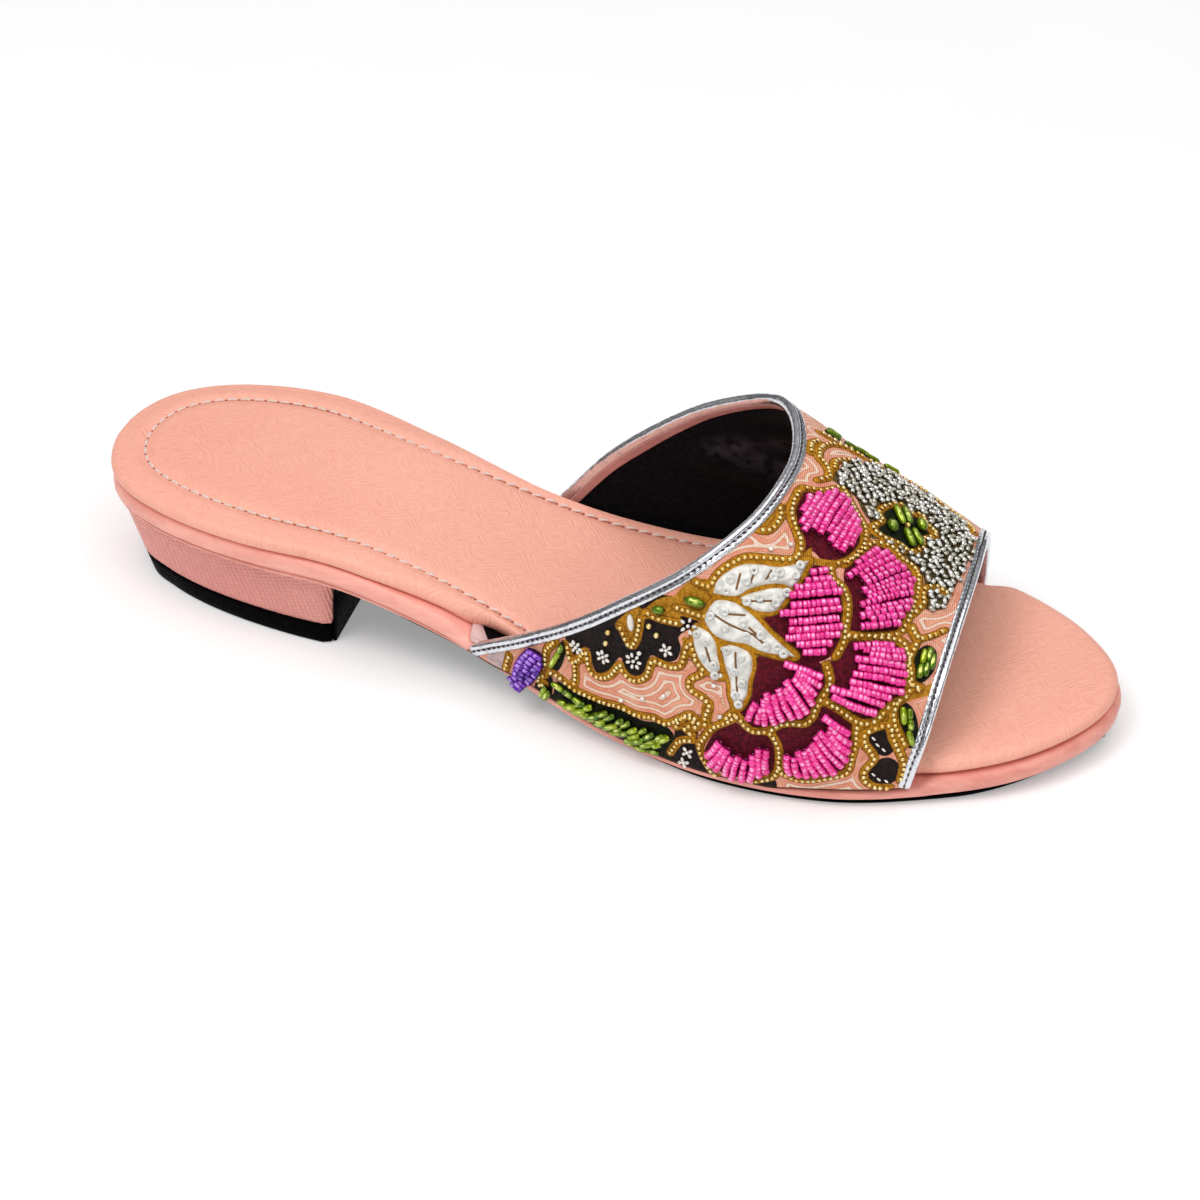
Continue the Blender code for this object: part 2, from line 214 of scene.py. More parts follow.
def arch_section(x):
    """Outer arch of the upper at one station: y, z and girth from the lateral side."""
    share = x / SOLE_LENGTH
    lateral, medial = half_widths(x)
    foot = board_over(x) + GAP
    top = smooth(share, RIDGE[:, 0], RIDGE[:, 1]) * INSTEP_HEIGHT
    apex = smooth(share, RIDGE[:, 0], RIDGE[:, 2])
    angle = np.linspace(0, math.pi, 361)
    across = np.cos(angle)
    reach = np.where(across > 0, lateral + apex, medial - apex)
    y = apex - reach * np.sign(across) * np.abs(across) ** (2 / ARCH_FULLNESS)
    z = foot + (top - foot) * np.abs(np.sin(angle)) ** (2 / ARCH_FULLNESS)
    girth = np.concatenate(([0], np.cumsum(np.hypot(np.diff(y), np.diff(z)))))
    return y, z, girth


# Chart of the upper

STATION_STEP = 0.5
STATIONS = np.arange(100.0, 222.01, STATION_STEP)
SHARES = np.linspace(0, 1, 401)


def arch_tables():
    """Points, outward normals and whole girth of the upper over stations and shares of the girth."""
    points = np.zeros((len(STATIONS), len(SHARES), 3))
    girths = np.zeros(len(STATIONS))
    for row, x in enumerate(STATIONS):
        y, z, girth = arch_section(x)
        points[row, :, 0] = x
        points[row, :, 1] = np.interp(SHARES * girth[-1], girth, y)
        points[row, :, 2] = np.interp(SHARES * girth[-1], girth, z)
        girths[row] = girth[-1]
    normals = unit(np.cross(np.gradient(points, axis=0), np.gradient(points, axis=1)))
    return points, normals, girths


ARCH_POINTS, ARCH_NORMALS, ARCH_GIRTHS = arch_tables()


def whole_girth(station):
    return np.interp(station, STATIONS, ARCH_GIRTHS)


def look_up(table, station, share):
    """Value of a table between its rows and columns."""
    row = np.clip((station - STATIONS[0]) / STATION_STEP, 0, len(STATIONS) - 1.001)
    column = np.clip(share, 0, 1) * (len(SHARES) - 1.001)
    i = row.astype(int)
    j = column.astype(int)
    a = (row - i)[..., None]
    b = (column - j)[..., None]
    near = table[i, j] * (1 - a) + table[i + 1, j] * a
    far = table[i, j + 1] * (1 - a) + table[i + 1, j + 1] * a
    return near * (1 - b) + far * b


def upper_normal(station, girth):
    return unit(look_up(ARCH_NORMALS, station, girth / whole_girth(station)))


def on_upper(station, girth, lift=0.0):
    """Points of the upper at stations and girths, lifted off its outer surface."""
    station, girth, lift = np.broadcast_arrays(np.asarray(station, float), girth, lift)
    surface = look_up(ARCH_POINTS, station, girth / whole_girth(station))
    surface[..., 2] += np.minimum(girth, 0) - np.maximum(girth - whole_girth(station), 0)
    return surface + upper_normal(station, girth) * lift[..., None]


def from_medial(places):
    """Chart places whose girth was counted from the medial foot."""
    places = np.asarray(places, float)
    return np.column_stack((places[:, 0], whole_girth(places[:, 0]) - places[:, 1]))


def edge_station(table, share):
    return smooth(np.clip(share, table[0, 0], table[-1, 0]), table[:, 0], table[:, 1])


def spline(places, closed=False, step=0.4):
    """Evenly spaced places along a smooth curve through the given ones."""
    places = np.asarray(places, float)
    if closed:
        around = np.concatenate((places[-1:], places, places[:2]))
    else:
        first = 2 * places[0] - places[1]
        last = 2 * places[-1] - places[-2]
        around = np.concatenate((first[None], places, last[None]))
    t = np.linspace(0, 1, 24, endpoint=False)[:, None]
    parts = []
    for a, b, c, d in zip(around, around[1:], around[2:], around[3:]):
        parts.append(0.5 * (2 * b + (c - a) * t + (2 * a - 5 * b + 4 * c - d) * t ** 2
                            + (3 * b - a - 3 * c + d) * t ** 3))
    path = np.concatenate(parts + [around[-2][None]])
    lengths = lengths_along(path)
    count = max(int(round(lengths[-1] / step)), 2) + 1
    return points_at(np.linspace(0, lengths[-1], count), lengths, path)


FAR_AWAY = 99.0
LINE_REACH = 14.0


def distance_to(places, lines):
    """Shortest distance from each place to any of the lines, where one is within reach."""
    nearest = np.full(len(places), FAR_AWAY)
    for line in lines:
        low = line.min(axis=0) - LINE_REACH
        high = line.max(axis=0) + LINE_REACH
        close = np.all((places > low) & (places < high), axis=1)
        spots = places[close]
        best = np.full(len(spots), FAR_AWAY)
        for start, end in zip(line, line[1:]):
            run = end - start
            share = np.clip((spots - start) @ run / max(run @ run, 1e-9), 0, 1)
            off = spots - start - share[:, None] * run
            best = np.minimum(best, np.hypot(off[:, 0], off[:, 1]))
        nearest[close] = np.minimum(nearest[close], best)
    return nearest


def inside(places, outline):
    """True for the places within a closed outline."""
    within = np.zeros(len(places), bool)
    for (x0, y0), (x1, y1) in zip(outline, np.roll(outline, -1, axis=0)):
        crosses = (y0 > places[:, 1]) != (y1 > places[:, 1])
        at = x0 + (places[:, 1] - y0) * (x1 - x0) / (y1 - y0 if y1 != y0 else 1e-9)
        within ^= crosses & (places[:, 0] < at)
    return within


def signed_distance(places, outlines):
    """Chart distance to the nearest outline, below zero inside it."""
    signed = np.full(len(places), FAR_AWAY)
    for outline in outlines:
        away = distance_to(places, [outline])
        signed = np.minimum(signed, np.where(inside(places, outline), -away, away))
    return signed


# Meshes

MERGE_DISTANCE = 0.004
RING_END = 0.08
RING_COUNT = 40


def shift_to_frame():
    """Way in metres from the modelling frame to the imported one, by the box of the sole board.

    The model's board has rings at these ends and in this count, so its box reaches to the widest of them.
    """
    low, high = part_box("sole_board")
    widest = half_widths(cosine_shares(RING_COUNT, RING_END) * SOLE_LENGTH)[0].max()
    return np.array(((low[0] + high[0] - SOLE_LENGTH * MM) / 2, low[1] + widest * MM, 0))


SHIFT = shift_to_frame()


def add_piece(name, form, material, merge=False):
    """Named mesh from a form's points in mm and its faces, riding on the shoe."""
    points, faces = form
    mesh = bpy.data.meshes.new(name)
    mesh.from_pydata((np.asarray(points) * MM + SHIFT).tolist(), [], [list(face) for face in faces])
    work = bmesh.new()
    work.from_mesh(mesh)
    if merge:
        bmesh.ops.remove_doubles(work, verts=work.verts, dist=MERGE_DISTANCE * MM)
    bmesh.ops.recalc_face_normals(work, faces=work.faces)
    work.to_mesh(mesh)
    work.free()
    mesh.shade_smooth()
    mesh.materials.append(MATERIALS[material])
    piece = bpy.data.objects.new(name, mesh)
    bpy.context.scene.collection.objects.link(piece)
    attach(piece, "root")
    return piece


def set_values(piece, name, values):
    """Number at each vertex, for the material to read."""
    layer = piece.data.attributes.new(name, "FLOAT", "POINT")
    layer.data.foreach_set("value", np.asarray(values, np.float32))


def grid_faces(rows, columns, start=0):
    index = start + np.arange(rows * columns).reshape(rows, columns)
    corners = (index[:-1, :-1], index[1:, :-1], index[1:, 1:], index[:-1, 1:])
    return np.stack(corners, axis=-1).reshape(-1, 4)


def shell(outer, inner):
    """Closed shell between two grids of points."""
    rows, columns = outer.shape[:2]
    count = rows * columns
    index = np.arange(count).reshape(rows, columns)
    rim = np.concatenate((index[0], index[1:, -1], index[-1, -2::-1], index[-2:0:-1, 0]))
    after = np.roll(rim, -1)
    sides = np.stack((rim, after, after + count, rim + count), axis=-1)
    faces = np.concatenate((grid_faces(rows, columns), grid_faces(rows, columns, count)[:, ::-1], sides))
    return np.concatenate((outer.reshape(-1, 3), inner.reshape(-1, 3))), faces


def tube(rings):
    """Closed skin over rings of points, with a flat cap at each end."""
    rings = np.asarray(rings)
    count, around = rings.shape[:2]
    index = np.arange(count * around).reshape(count, around)
    after = np.roll(index, -1, axis=1)
    sides = np.stack((index[:-1], after[:-1], after[1:], index[1:]), axis=-1).reshape(-1, 4)
    return rings.reshape(-1, 3), sides.tolist() + [index[0][::-1].tolist(), index[-1].tolist()]


def lathe(profile, segments):
    """Rounded bar along X: profile rows are place along it and radius."""
    angle = 2 * math.pi * np.arange(segments) / segments
    circle = np.column_stack((np.cos(angle), np.sin(angle)))
    rings = [np.column_stack((np.full(segments, x), r * circle)) for x, r in profile]
    return tube(rings)


def holed(profile, segments):
    """Bead with a hole along X: profile rows go round its section as place along it and radius."""
    points, faces = lathe(profile, segments)
    last = (len(profile) - 1) * segments
    faces = faces[:-2]
    for k in range(segments):
        after = (k + 1) % segments
        faces.append([last + k, last + after, after, k])
    return points, faces


# Small forms, one unit across: rows are place along the form and radius
SEED_BEAD = holed(((-0.32, 0.20), (-0.44, 0.36), (0.0, 0.5), (0.44, 0.36), (0.32, 0.20)), 8)
BARREL_BEAD = holed(((-0.44, 0.18), (-0.52, 0.34), (-0.46, 0.45), (-0.24, 0.5), (0.24, 0.5), (0.46, 0.45),
                     (0.52, 0.34), (0.44, 0.18)), 12)
SEQUIN = holed(((-0.06, 0.10), (0.03, 0.09), (0.06, 0.28), (0.12, 0.40), (0.08, 0.49), (-0.06, 0.5)), 16)
SEQUIN[0][:] = SEQUIN[0][:, [1, 2, 0]]
OVAL_BEAD = lathe(((-0.5, 0.14), (-0.46, 0.33), (-0.34, 0.46), (0.0, 0.5), (0.34, 0.46), (0.46, 0.33),
                   (0.5, 0.14)), 12)
BUGLE_BEAD = lathe(((-0.5, 0.26), (-0.47, 0.42), (-0.38, 0.5), (0.38, 0.5), (0.47, 0.42), (0.5, 0.26)), 12)
ROUND_DOT = lathe(((-0.5, 0.05), (-0.42, 0.27), (-0.2, 0.46), (0.1, 0.49), (0.36, 0.35), (0.49, 0.12)), 8)
STITCH_BAR = lathe(((-0.5, 0.12), (-0.44, 0.36), (-0.25, 0.5), (0.25, 0.5), (0.44, 0.36), (0.5, 0.12)), 8)
STITCH_BAR[0][:, 2] -= 1.6 * STITCH_BAR[0][:, 0] ** 2


def scattered(template, centres, along, normal, sizes):
    """Many copies of a small form as one mesh, each on its own axes."""
    shape, shape_faces = template
    along = unit(along - normal * np.sum(along * normal, axis=-1, keepdims=True))
    side = np.cross(normal, along)
    local = shape[None] * np.asarray(sizes)[:, None, :]
    points = (centres[:, None] + local[..., 0:1] * along[:, None] + local[..., 1:2] * side[:, None]
              + local[..., 2:3] * normal[:, None])
    faces = []
    for k in range(len(centres)):
        start = k * len(shape)
        faces.extend([[start + corner for corner in face] for face in shape_faces])
    return points.reshape(-1, 3), faces


# Fixed way towards the light for the beads' painted shade and glints, and how much painted shade their ends
# get
LIT_FROM = np.array((-0.2, -0.3, 0.75))
END_SHADE = 0.45
BEAD_SIZE_SPREAD = 0.04


def add_beads(name, template, beads, material):
    """Beads on the upper. Each row: station, girth, run of station, run of girth, lift, length, width.

    Each vertex is told its bead's tint and how far it lies towards the bead's lit side, less at its ends.
    """
    rows = np.asarray(beads, float)
    station, girth, run_station, run_girth, lift, length, width = rows.T
    centres = on_upper(station, girth, lift)
    along = on_upper(station + 0.2 * run_station, girth + 0.2 * run_girth, lift) - centres
    normal = upper_normal(station, girth)
    sizes = np.column_stack((length, width, width))
    piece = add_piece(name, scattered(template, centres, along, normal, sizes), material)
    form = template[0]
    set_values(piece, "tint", np.repeat(random.random(len(rows)), len(form)))
    # each vertex's share towards the fixed light, less at the bead's ends, for the painted shade and glint
    # in the bead materials
    side = unit(np.cross(normal, along))
    to_light = normal + LIT_FROM
    lit = np.column_stack((np.sum(side * to_light, axis=1), np.sum(normal * to_light, axis=1)))
    crown = 2 * unit(lit) @ form[:, 1:].T - END_SHADE * (2 * np.abs(form[:, 0])) ** 4
    set_values(piece, "crown", crown.ravel())
    return piece


def strung(line, pitch, lift, length, width, crown=0.0, wander=0.0, vary=0.0):
    """Rows for beads threaded along a chart line.

    The crown lifts them more in the line's middle, and their lengths vary by a share.
    """
    line = np.asarray(line, float)
    far = lengths_along(line)
    count = max(int(round(far[-1] / pitch)), 1)
    span = random.uniform(1 - vary, 1 + vary, count)
    span = span / span.sum()
    at = np.cumsum(span) - span / 2
    places = points_at(at * far[-1], far, line)
    station = places[:, 0] + random.normal(0, wander, count)
    girth = places[:, 1] + random.normal(0, wander, count)
    run = unit(points_at(at * far[-1], far, np.gradient(line, axis=0)))
    up = lift + crown * np.sin(math.pi * at)
    grow = 1 + random.normal(0, BEAD_SIZE_SPREAD, count)
    return np.column_stack((station, girth, run, up, span * far[-1] * length / pitch, width * grow))


# Materials

def srgb(red, green, blue):
    """Colour of a shader from the usual 0 to 255 numbers."""
    parts = [part / 255 for part in (red, green, blue)]
    return tuple(p / 12.92 if p <= 0.04045 else ((p + 0.055) / 1.055) ** 2.4 for p in parts) + (1.0,)


WOBBLE_SIZE = 6.0


class Graph:
    """Material under construction, with short calls for the nodes used here."""

    def __init__(self, name, **values):
        self.material = bpy.data.materials.new(name)
        self.material.use_nodes = True
        self.tree = self.material.node_tree
        self.shader = self.tree.nodes["Principled BSDF"]
        self.place = self.node("ShaderNodeTexCoord").outputs["Object"]
        for socket, value in values.items():
            self.set(socket.replace("_", " "), value)

    def node(self, kind, inputs=None, **settings):
        made = self.tree.nodes.new(kind)
        for key, value in settings.items():
            setattr(made, key, value)
        for key, value in (inputs or {}).items():
            self.feed(made.inputs[key], value)
        return made

    def feed(self, socket, value):
        if isinstance(value, bpy.types.NodeSocket):
            self.tree.links.new(value, socket)
        else:
            socket.default_value = value

    def set(self, socket, value):
        self.feed(self.shader.inputs[socket], value)

    def math(self, operation, first, second=0.0):
        return self.node("ShaderNodeMath", {0: first, 1: second}, operation=operation).outputs[0]

    def step(self, value, low, high, start=0.0, end=1.0):
        """Smooth step of a value between two limits, from start to end."""
        inputs = {"Value": value, "From Min": low, "From Max": high, "To Min": start, "To Max": end}
        return self.node("ShaderNodeMapRange", inputs, interpolation_type="SMOOTHSTEP").outputs["Result"]

    def mix(self, share, first, second):
        return self.node("ShaderNodeMix", {0: share, 6: first, 7: second}, data_type="RGBA").outputs[2]

    def noise(self, size, detail=2.0, rough=0.5, stretch=(1, 1, 1)):
        """Soft noise with features of about a size in mm."""
        stretched = self.node("ShaderNodeVectorMath", {0: self.place, 1: stretch}, operation="MULTIPLY")
        vector = stretched.outputs[0]
        inputs = {"Vector": vector, "Scale": 1 / (size * MM), "Detail": detail, "Roughness": rough}
        return self.node("ShaderNodeTexNoise", inputs).outputs[0]

    def cells(self, size, feature="F1"):
        inputs = {"Vector": self.place, "Scale": 1 / (size * MM)}
        return self.node("ShaderNodeTexVoronoi", inputs, feature=feature).outputs["Distance"]

    def lines(self, direction, pitch, wobble):
        """Fine parallel lines across a direction, pitch in mm, from -1 to 1."""
        axis = [2 * math.pi / (pitch * MM) * part for part in unit(np.array(direction, float))]
        along = self.node("ShaderNodeVectorMath", {0: self.place, 1: axis}, operation="DOT_PRODUCT")
        bend = self.math("MULTIPLY", self.noise(WOBBLE_SIZE), wobble * 6)
        return self.math("SINE", self.math("ADD", along.outputs["Value"], bend))

    def strokes(self, direction, length, width):
        """Soft strokes that run along a flat direction, sizes in mm."""
        along = unit(np.array(direction, float))
        across = (-along[1], along[0], 0.0)
        split = []
        for axis, size in ((along, length), (across, width)):
            scaled = [part / (size * MM) for part in axis]
            dot = self.node("ShaderNodeVectorMath", {0: self.place, 1: scaled}, operation="DOT_PRODUCT")
            split.append(dot.outputs["Value"])
        vector = self.node("ShaderNodeCombineXYZ", {"X": split[0], "Y": split[1]}).outputs[0]
        inputs = {"Vector": vector, "Scale": 1.0, "Detail": 2.0}
        return self.node("ShaderNodeTexNoise", inputs).outputs[0]

    def value(self, name):
        return self.node("ShaderNodeAttribute", attribute_name=name).outputs["Fac"]

    def bump(self, height, depth):
        """Relief of a depth in mm."""
        inputs = {"Height": height, "Distance": depth * MM}
        if self.shader.inputs["Normal"].is_linked:
            inputs["Normal"] = self.shader.inputs["Normal"].links[0].from_socket
        self.set("Normal", self.node("ShaderNodeBump", inputs).outputs["Normal"])


def satin_finish(graph, light, deep, grain_tone):
    """Colour of satin leather, in broad clouds and deeper in the grain, and its gloss."""
    tone = graph.math("ADD", graph.step(graph.noise(40.0, 2), 0.2, 0.8, 0.0, 0.3), grain_tone)
    graph.set("Base Color", graph.mix(tone, light, deep))
    graph.set("Roughness", graph.step(graph.noise(2.0, 4), 0.3, 0.75, 0.42, 0.58))


def grained_leather(name, light, deep, directions, pitch, depth, patchy):
    """Satin leather with a pressed grain of crossed lines."""
    graph = Graph(name, Specular_IOR_Level=0.42)
    hatch = graph.lines(directions[0], pitch, 0.55)
    for direction in directions[1:]:
        crossed = graph.lines(direction, pitch * 1.08, 0.55)
        hatch = graph.math("ADD", hatch, graph.math("MULTIPLY", crossed, 0.6))
    patch = graph.step(graph.noise(6.0, 3), 0.3, 0.7, patchy, 1.0)
    hatch = graph.math("MULTIPLY", hatch, patch)
    satin_finish(graph, light, deep, graph.step(hatch, -1.6, 1.6, 0.34, 0.0))
    graph.bump(graph.noise(0.5, 3), 0.05)
    graph.bump(hatch, depth)
    return graph.material


def stroked_leather(name, light, deep):
    """Satin leather whose pressed grain runs in short strokes, one way or the other from patch to patch."""
    graph = Graph(name, Specular_IOR_Level=0.4)
    first = graph.strokes((0.66, -0.75, 0), 3.4, 0.5)
    second = graph.strokes((0.80, 0.60, 0), 3.4, 0.5)
    patch = graph.step(graph.noise(5.0, 2), 0.42, 0.58)
    grain = graph.node("ShaderNodeMix", {0: patch, 2: first, 3: second}, data_type="FLOAT").outputs[0]
    satin_finish(graph, light, deep, graph.step(grain, 0.25, 0.7, 0.52, 0.0))
    graph.bump(graph.noise(0.5, 3), 0.04)
    graph.bump(grain, 0.26)
    return graph.material


def smooth_leather(name, light, deep):
    """Wrapped band leather: fine pores and soft pulls, and a painted shade that deepens it a little towards
    the toe.
    """
    graph = Graph(name, Specular_IOR_Level=0.45)
    pull = graph.noise(5.0, 4, 0.6, (0.35, 1, 1.6))
    along = graph.node("ShaderNodeSeparateXYZ", {0: graph.place}).outputs["X"]
    # painted shade: the leather is drawn a little deeper towards the toe
    painted_toe_shade = graph.step(along, -0.03, 0.06, 0.0, 0.4)
    tone = graph.math("ADD", graph.step(pull, 0.3, 0.75, 0.0, 0.6), painted_toe_shade)
    graph.set("Base Color", graph.mix(tone, light, deep))
    graph.set("Roughness", graph.step(graph.noise(1.5, 3), 0.3, 0.7, 0.38, 0.52))
    graph.bump(pull, 0.25)
    graph.bump(graph.cells(0.5), 0.04)
    return graph.material


def rubber(name):
    graph = Graph(name, Specular_IOR_Level=0.012)
    wear = graph.step(graph.noise(3.0, 5, 0.65), 0.58, 0.8)
    graph.set("Base Color", graph.mix(wear, srgb(5, 4, 6), srgb(20, 18, 20)))
    graph.set("Roughness", graph.step(graph.noise(1.2, 4), 0.3, 0.7, 0.34, 0.55))
    graph.bump(graph.noise(0.7, 4), 0.06)
    return graph.material


def velvet(name):
    """Black napped lining, with a painted highlight on the ridge beside each crease."""
    graph = Graph(name, Roughness=0.95, Specular_IOR_Level=0.1, Sheen_Weight=0.06, Sheen_Roughness=0.4)
    nap = graph.step(graph.noise(1.2, 4, 0.65), 0.4, 0.75)
    black = graph.mix(nap, srgb(5, 4, 6), srgb(20, 18, 22))
    # painted highlight on the ridge beside each crease, broken up by noise
    fold_highlight = graph.math("MULTIPLY", graph.value("fold"), graph.step(graph.noise(3.0, 4), 0.3, 0.7))
    black = graph.mix(fold_highlight, black, srgb(58, 54, 62))
    lint = graph.step(graph.cells(2.6), 0.05, 0.03)
    graph.set("Base Color", graph.mix(graph.math("MULTIPLY", lint, 0.5), black, srgb(96, 90, 100)))
    graph.bump(graph.noise(0.4, 3), 0.12)
    return graph.material


def silver_foil(name):
    """Crinkled foil leather of the bindings, with painted shade along the groove between roll and flange."""
    graph = Graph(name, Metallic=0.92)
    across = graph.value("across")
    # painted shade along the groove between the roll and the flange
    groove = graph.step(graph.math("ABSOLUTE", graph.math("SUBTRACT", across, 0.88)), 0.36, 0.08)
    # darker patches by noise: partly tarnish, partly painted dark reflections
    tarnish_and_dark_reflection = graph.step(graph.noise(1.6, 5, 0.65), 0.52, 0.78)
    silver = graph.mix(tarnish_and_dark_reflection, srgb(224, 226, 231), srgb(150, 152, 163))
    graph.set("Base Color", graph.mix(graph.math("MULTIPLY", groove, 0.6), silver, srgb(40, 40, 48)))
    graph.set("Roughness", graph.step(graph.noise(2.5, 4), 0.3, 0.7, 0.14, 0.28))
    graph.bump(graph.noise(1.6, 3, 0.5), 0.16)
    return graph.material


def thread(name, color, rough=0.7):
    graph = Graph(name, Sheen_Weight=0.2)
    ply = graph.lines((1, 0.8, 0.5), 0.35, 0.1)
    graph.set("Base Color", graph.mix(graph.step(ply, -1, 1, 0.0, 0.15), color, srgb(120, 70, 62)))
    graph.set("Roughness", rough)
    graph.bump(ply, 0.06)
    return graph.material


def bead_glass(name, first, second, deep, rough, metallic=0.0, glint=None, coat=1.0):
    """Glossy bead colour that changes from bead to bead.

    It has painted shade, a deeper colour, at each bead's ends and foot, and may have a painted glint along
    its lit crown.
    """
    graph = Graph(name, Metallic=metallic, Coat_Weight=coat, Coat_Roughness=0.05, Specular_IOR_Level=0.4)
    body = graph.mix(graph.value("tint"), first, second)
    # painted shade: deep colour towards each bead's ends and the side away from the fixed light
    color = graph.mix(graph.step(graph.value("crown"), -0.45, 0.6), deep, body)
    if glint is not None:
        # painted glint on the side towards the fixed light, broken up by noise
        broken = graph.step(graph.noise(1.3, 2), 0.38, 0.6)
        shine = graph.math("MULTIPLY", broken, graph.step(graph.value("crown"), 0.7, 0.98))
        color = graph.mix(shine, color, glint)
    graph.set("Base Color", color)
    graph.set("Roughness", graph.step(graph.value("tint"), 0.0, 1.0, rough, rough + 0.12))
    graph.bump(graph.noise(0.5, 2), 0.03)
    return graph.material


def enamel(name):
    """White raised leaves with dimples, painted greyer in their hollows as shade, and thin brown veins."""
    graph = Graph(name, Coat_Weight=0.25, Coat_Roughness=0.3)
    dimple = graph.cells(2.1, "SMOOTH_F1")
    pore = graph.noise(0.8, 3)
    # painted shade: greyer where each dimple sinks
    white = graph.mix(graph.step(dimple, 0.15, 0.75), srgb(212, 210, 202), srgb(246, 244, 238))
    white = graph.mix(graph.step(pore, 0.62, 0.78, 0.0, 0.35), white, srgb(176, 172, 164))
    vein = graph.step(graph.value("vein"), 0.3, 0.2)
    graph.set("Base Color", graph.mix(vein, white, srgb(124, 78, 20)))
    graph.set("Roughness", graph.step(pore, 0.3, 0.7, 0.34, 0.5))
    graph.bump(dimple, 0.7)
    graph.bump(pore, 0.08)
    return graph.material


def printed_cloth(name):
    """Batik print: the chart's distances set where each dyed colour ends, and a painted shade darkens the
    cloth along its lower edges.
    """
    graph = Graph(name, Specular_IOR_Level=0.22)
    echo = graph.value("echo")
    line = graph.value("line")
    blotch = graph.noise(4.0, 4, 0.6)
    speck = graph.noise(0.9, 3, 0.6)
    color = graph.mix(graph.step(blotch, 0.3, 0.7), srgb(252, 182, 154), srgb(240, 152, 124))
    wavy = graph.math("ADD", echo, graph.math("MULTIPLY", graph.noise(3.0, 2), 0.5))
    wave = graph.math("FRACT", graph.math("DIVIDE", wavy, 1.7))
    off = graph.math("ABSOLUTE", graph.math("SUBTRACT", wave, 0.5))
    shade = graph.math("MULTIPLY", graph.step(off, 0.40, 0.22), graph.step(echo, 0.6, 1.0))
    color = graph.mix(graph.math("MULTIPLY", shade, 0.55), color, srgb(208, 136, 92))
    pale = graph.math("MULTIPLY", graph.step(off, 0.21, 0.12), graph.step(echo, 0.6, 1.0))
    color = graph.mix(pale, color, srgb(254, 226, 206))
    grounds = (
        ("field", (112, 92, 52), (70, 54, 28)),
        ("cell", (106, 6, 32), (64, 1, 18)),
        ("dark", (32, 18, 15), (14, 8, 8)),
        ("leafy", (26, 34, 8), (9, 14, 3)),
        ("tab", (216, 190, 188), (182, 156, 158)),
        ("purple", (70, 24, 96), (36, 12, 50)),
        ("fill", (206, 146, 34), (164, 104, 12)),
    )
    for ground, light, deep in grounds:
        dye = graph.mix(graph.step(speck, 0.35, 0.7), srgb(*light), srgb(*deep))
        color = graph.mix(graph.step(graph.value(ground), 0.1, -0.1), color, dye)
    ochre = graph.mix(graph.step(speck, 0.35, 0.7), srgb(212, 148, 26), srgb(164, 104, 8))
    ochre = graph.mix(graph.step(line, 0.75, 1.08), ochre, srgb(96, 54, 8))
    color = graph.mix(graph.step(line, 1.14, 1.0), color, ochre)
    # painted shade along the cloth's lower edges, where it meets the band
    color = graph.mix(graph.step(graph.value("foot_shade"), 0.55, 0.25), color, srgb(84, 44, 32))
    graph.set("Base Color", color)
    graph.set("Roughness", graph.step(speck, 0.3, 0.7, 0.6, 0.82))
    weave = graph.math("ADD", graph.lines((1, 0.2, 0.1), 0.42, 0.1), graph.lines((0, 1, 0.9), 0.42, 0.1))
    graph.bump(weave, 0.05)
    graph.bump(graph.step(line, 1.0, 0.6), 0.2)
    return graph.material


MATERIALS = {
    "insole": stroked_leather("insole_leather", srgb(254, 186, 164), srgb(238, 160, 138)),
    "band": smooth_leather("band_leather", srgb(255, 184, 168), srgb(226, 142, 128)),
    "heel": grained_leather("heel_leather", srgb(255, 178, 166), srgb(220, 128, 120),
                            directions=((1, 0.7, 0.32), (0.3, 0.2, -1)), pitch=1.0, depth=0.2, patchy=0.8),
    "rubber": rubber("black_rubber"),
    "velvet": velvet("black_velvet"),
    "facing": smooth_leather("facing_leather", srgb(204, 142, 134), srgb(168, 112, 108)),
    "tab": smooth_leather("tab_leather", srgb(226, 192, 188), srgb(190, 152, 150)),
    "silver": silver_foil("silver_foil"),
    "stitch": thread("pale_thread", srgb(255, 230, 218)),
    "dark thread": thread("dark_thread", srgb(34, 34, 40)),
    # dark dots of painted shade in the stitch holes
    "hole": thread("painted_hole_shade", srgb(186, 106, 88), rough=0.9),
    "cloth": printed_cloth("printed_cloth"),
    # Beads: two tints, the deeper colour of their painted shade, then the finish and any painted glint
    "pink": bead_glass("pink_glass", srgb(255, 58, 166), srgb(230, 22, 132), srgb(112, 0, 54),
                       rough=0.2, metallic=0.15, glint=srgb(255, 176, 220), coat=0.45),
    "gold": bead_glass("gold_glass", srgb(255, 236, 168), srgb(244, 196, 92), srgb(140, 88, 10),
                       rough=0.16, metallic=0.45),
    "grey": bead_glass("silver_glass", srgb(252, 251, 246), srgb(186, 180, 160), srgb(84, 76, 54),
                       rough=0.14, metallic=0.55),
    "green": bead_glass("green_glass", srgb(150, 172, 0), srgb(66, 104, 0), srgb(6, 14, 0),
                        rough=0.14, metallic=0.5, glint=srgb(236, 246, 130), coat=0.25),
    "purple": bead_glass("purple_glass", srgb(122, 32, 192), srgb(72, 10, 140), srgb(16, 0, 40),
                         rough=0.18, metallic=0.2, glint=srgb(210, 160, 255), coat=0.35),
    "white": bead_glass("white_glass", srgb(246, 242, 236), srgb(226, 220, 212), srgb(186, 176, 166),
                        rough=0.2),
    "sequin": bead_glass("sequin_film", srgb(244, 243, 239), srgb(226, 225, 220), srgb(186, 184, 178),
                         rough=0.12, metallic=0.1),
    "enamel": enamel("white_enamel"),
}


# Sole

END_ANGLE = 0.045
BORDER_END = 0.002
BORDER_COUNT = 900
ROUND_COUNT = 190
ACROSS_COUNT = 64


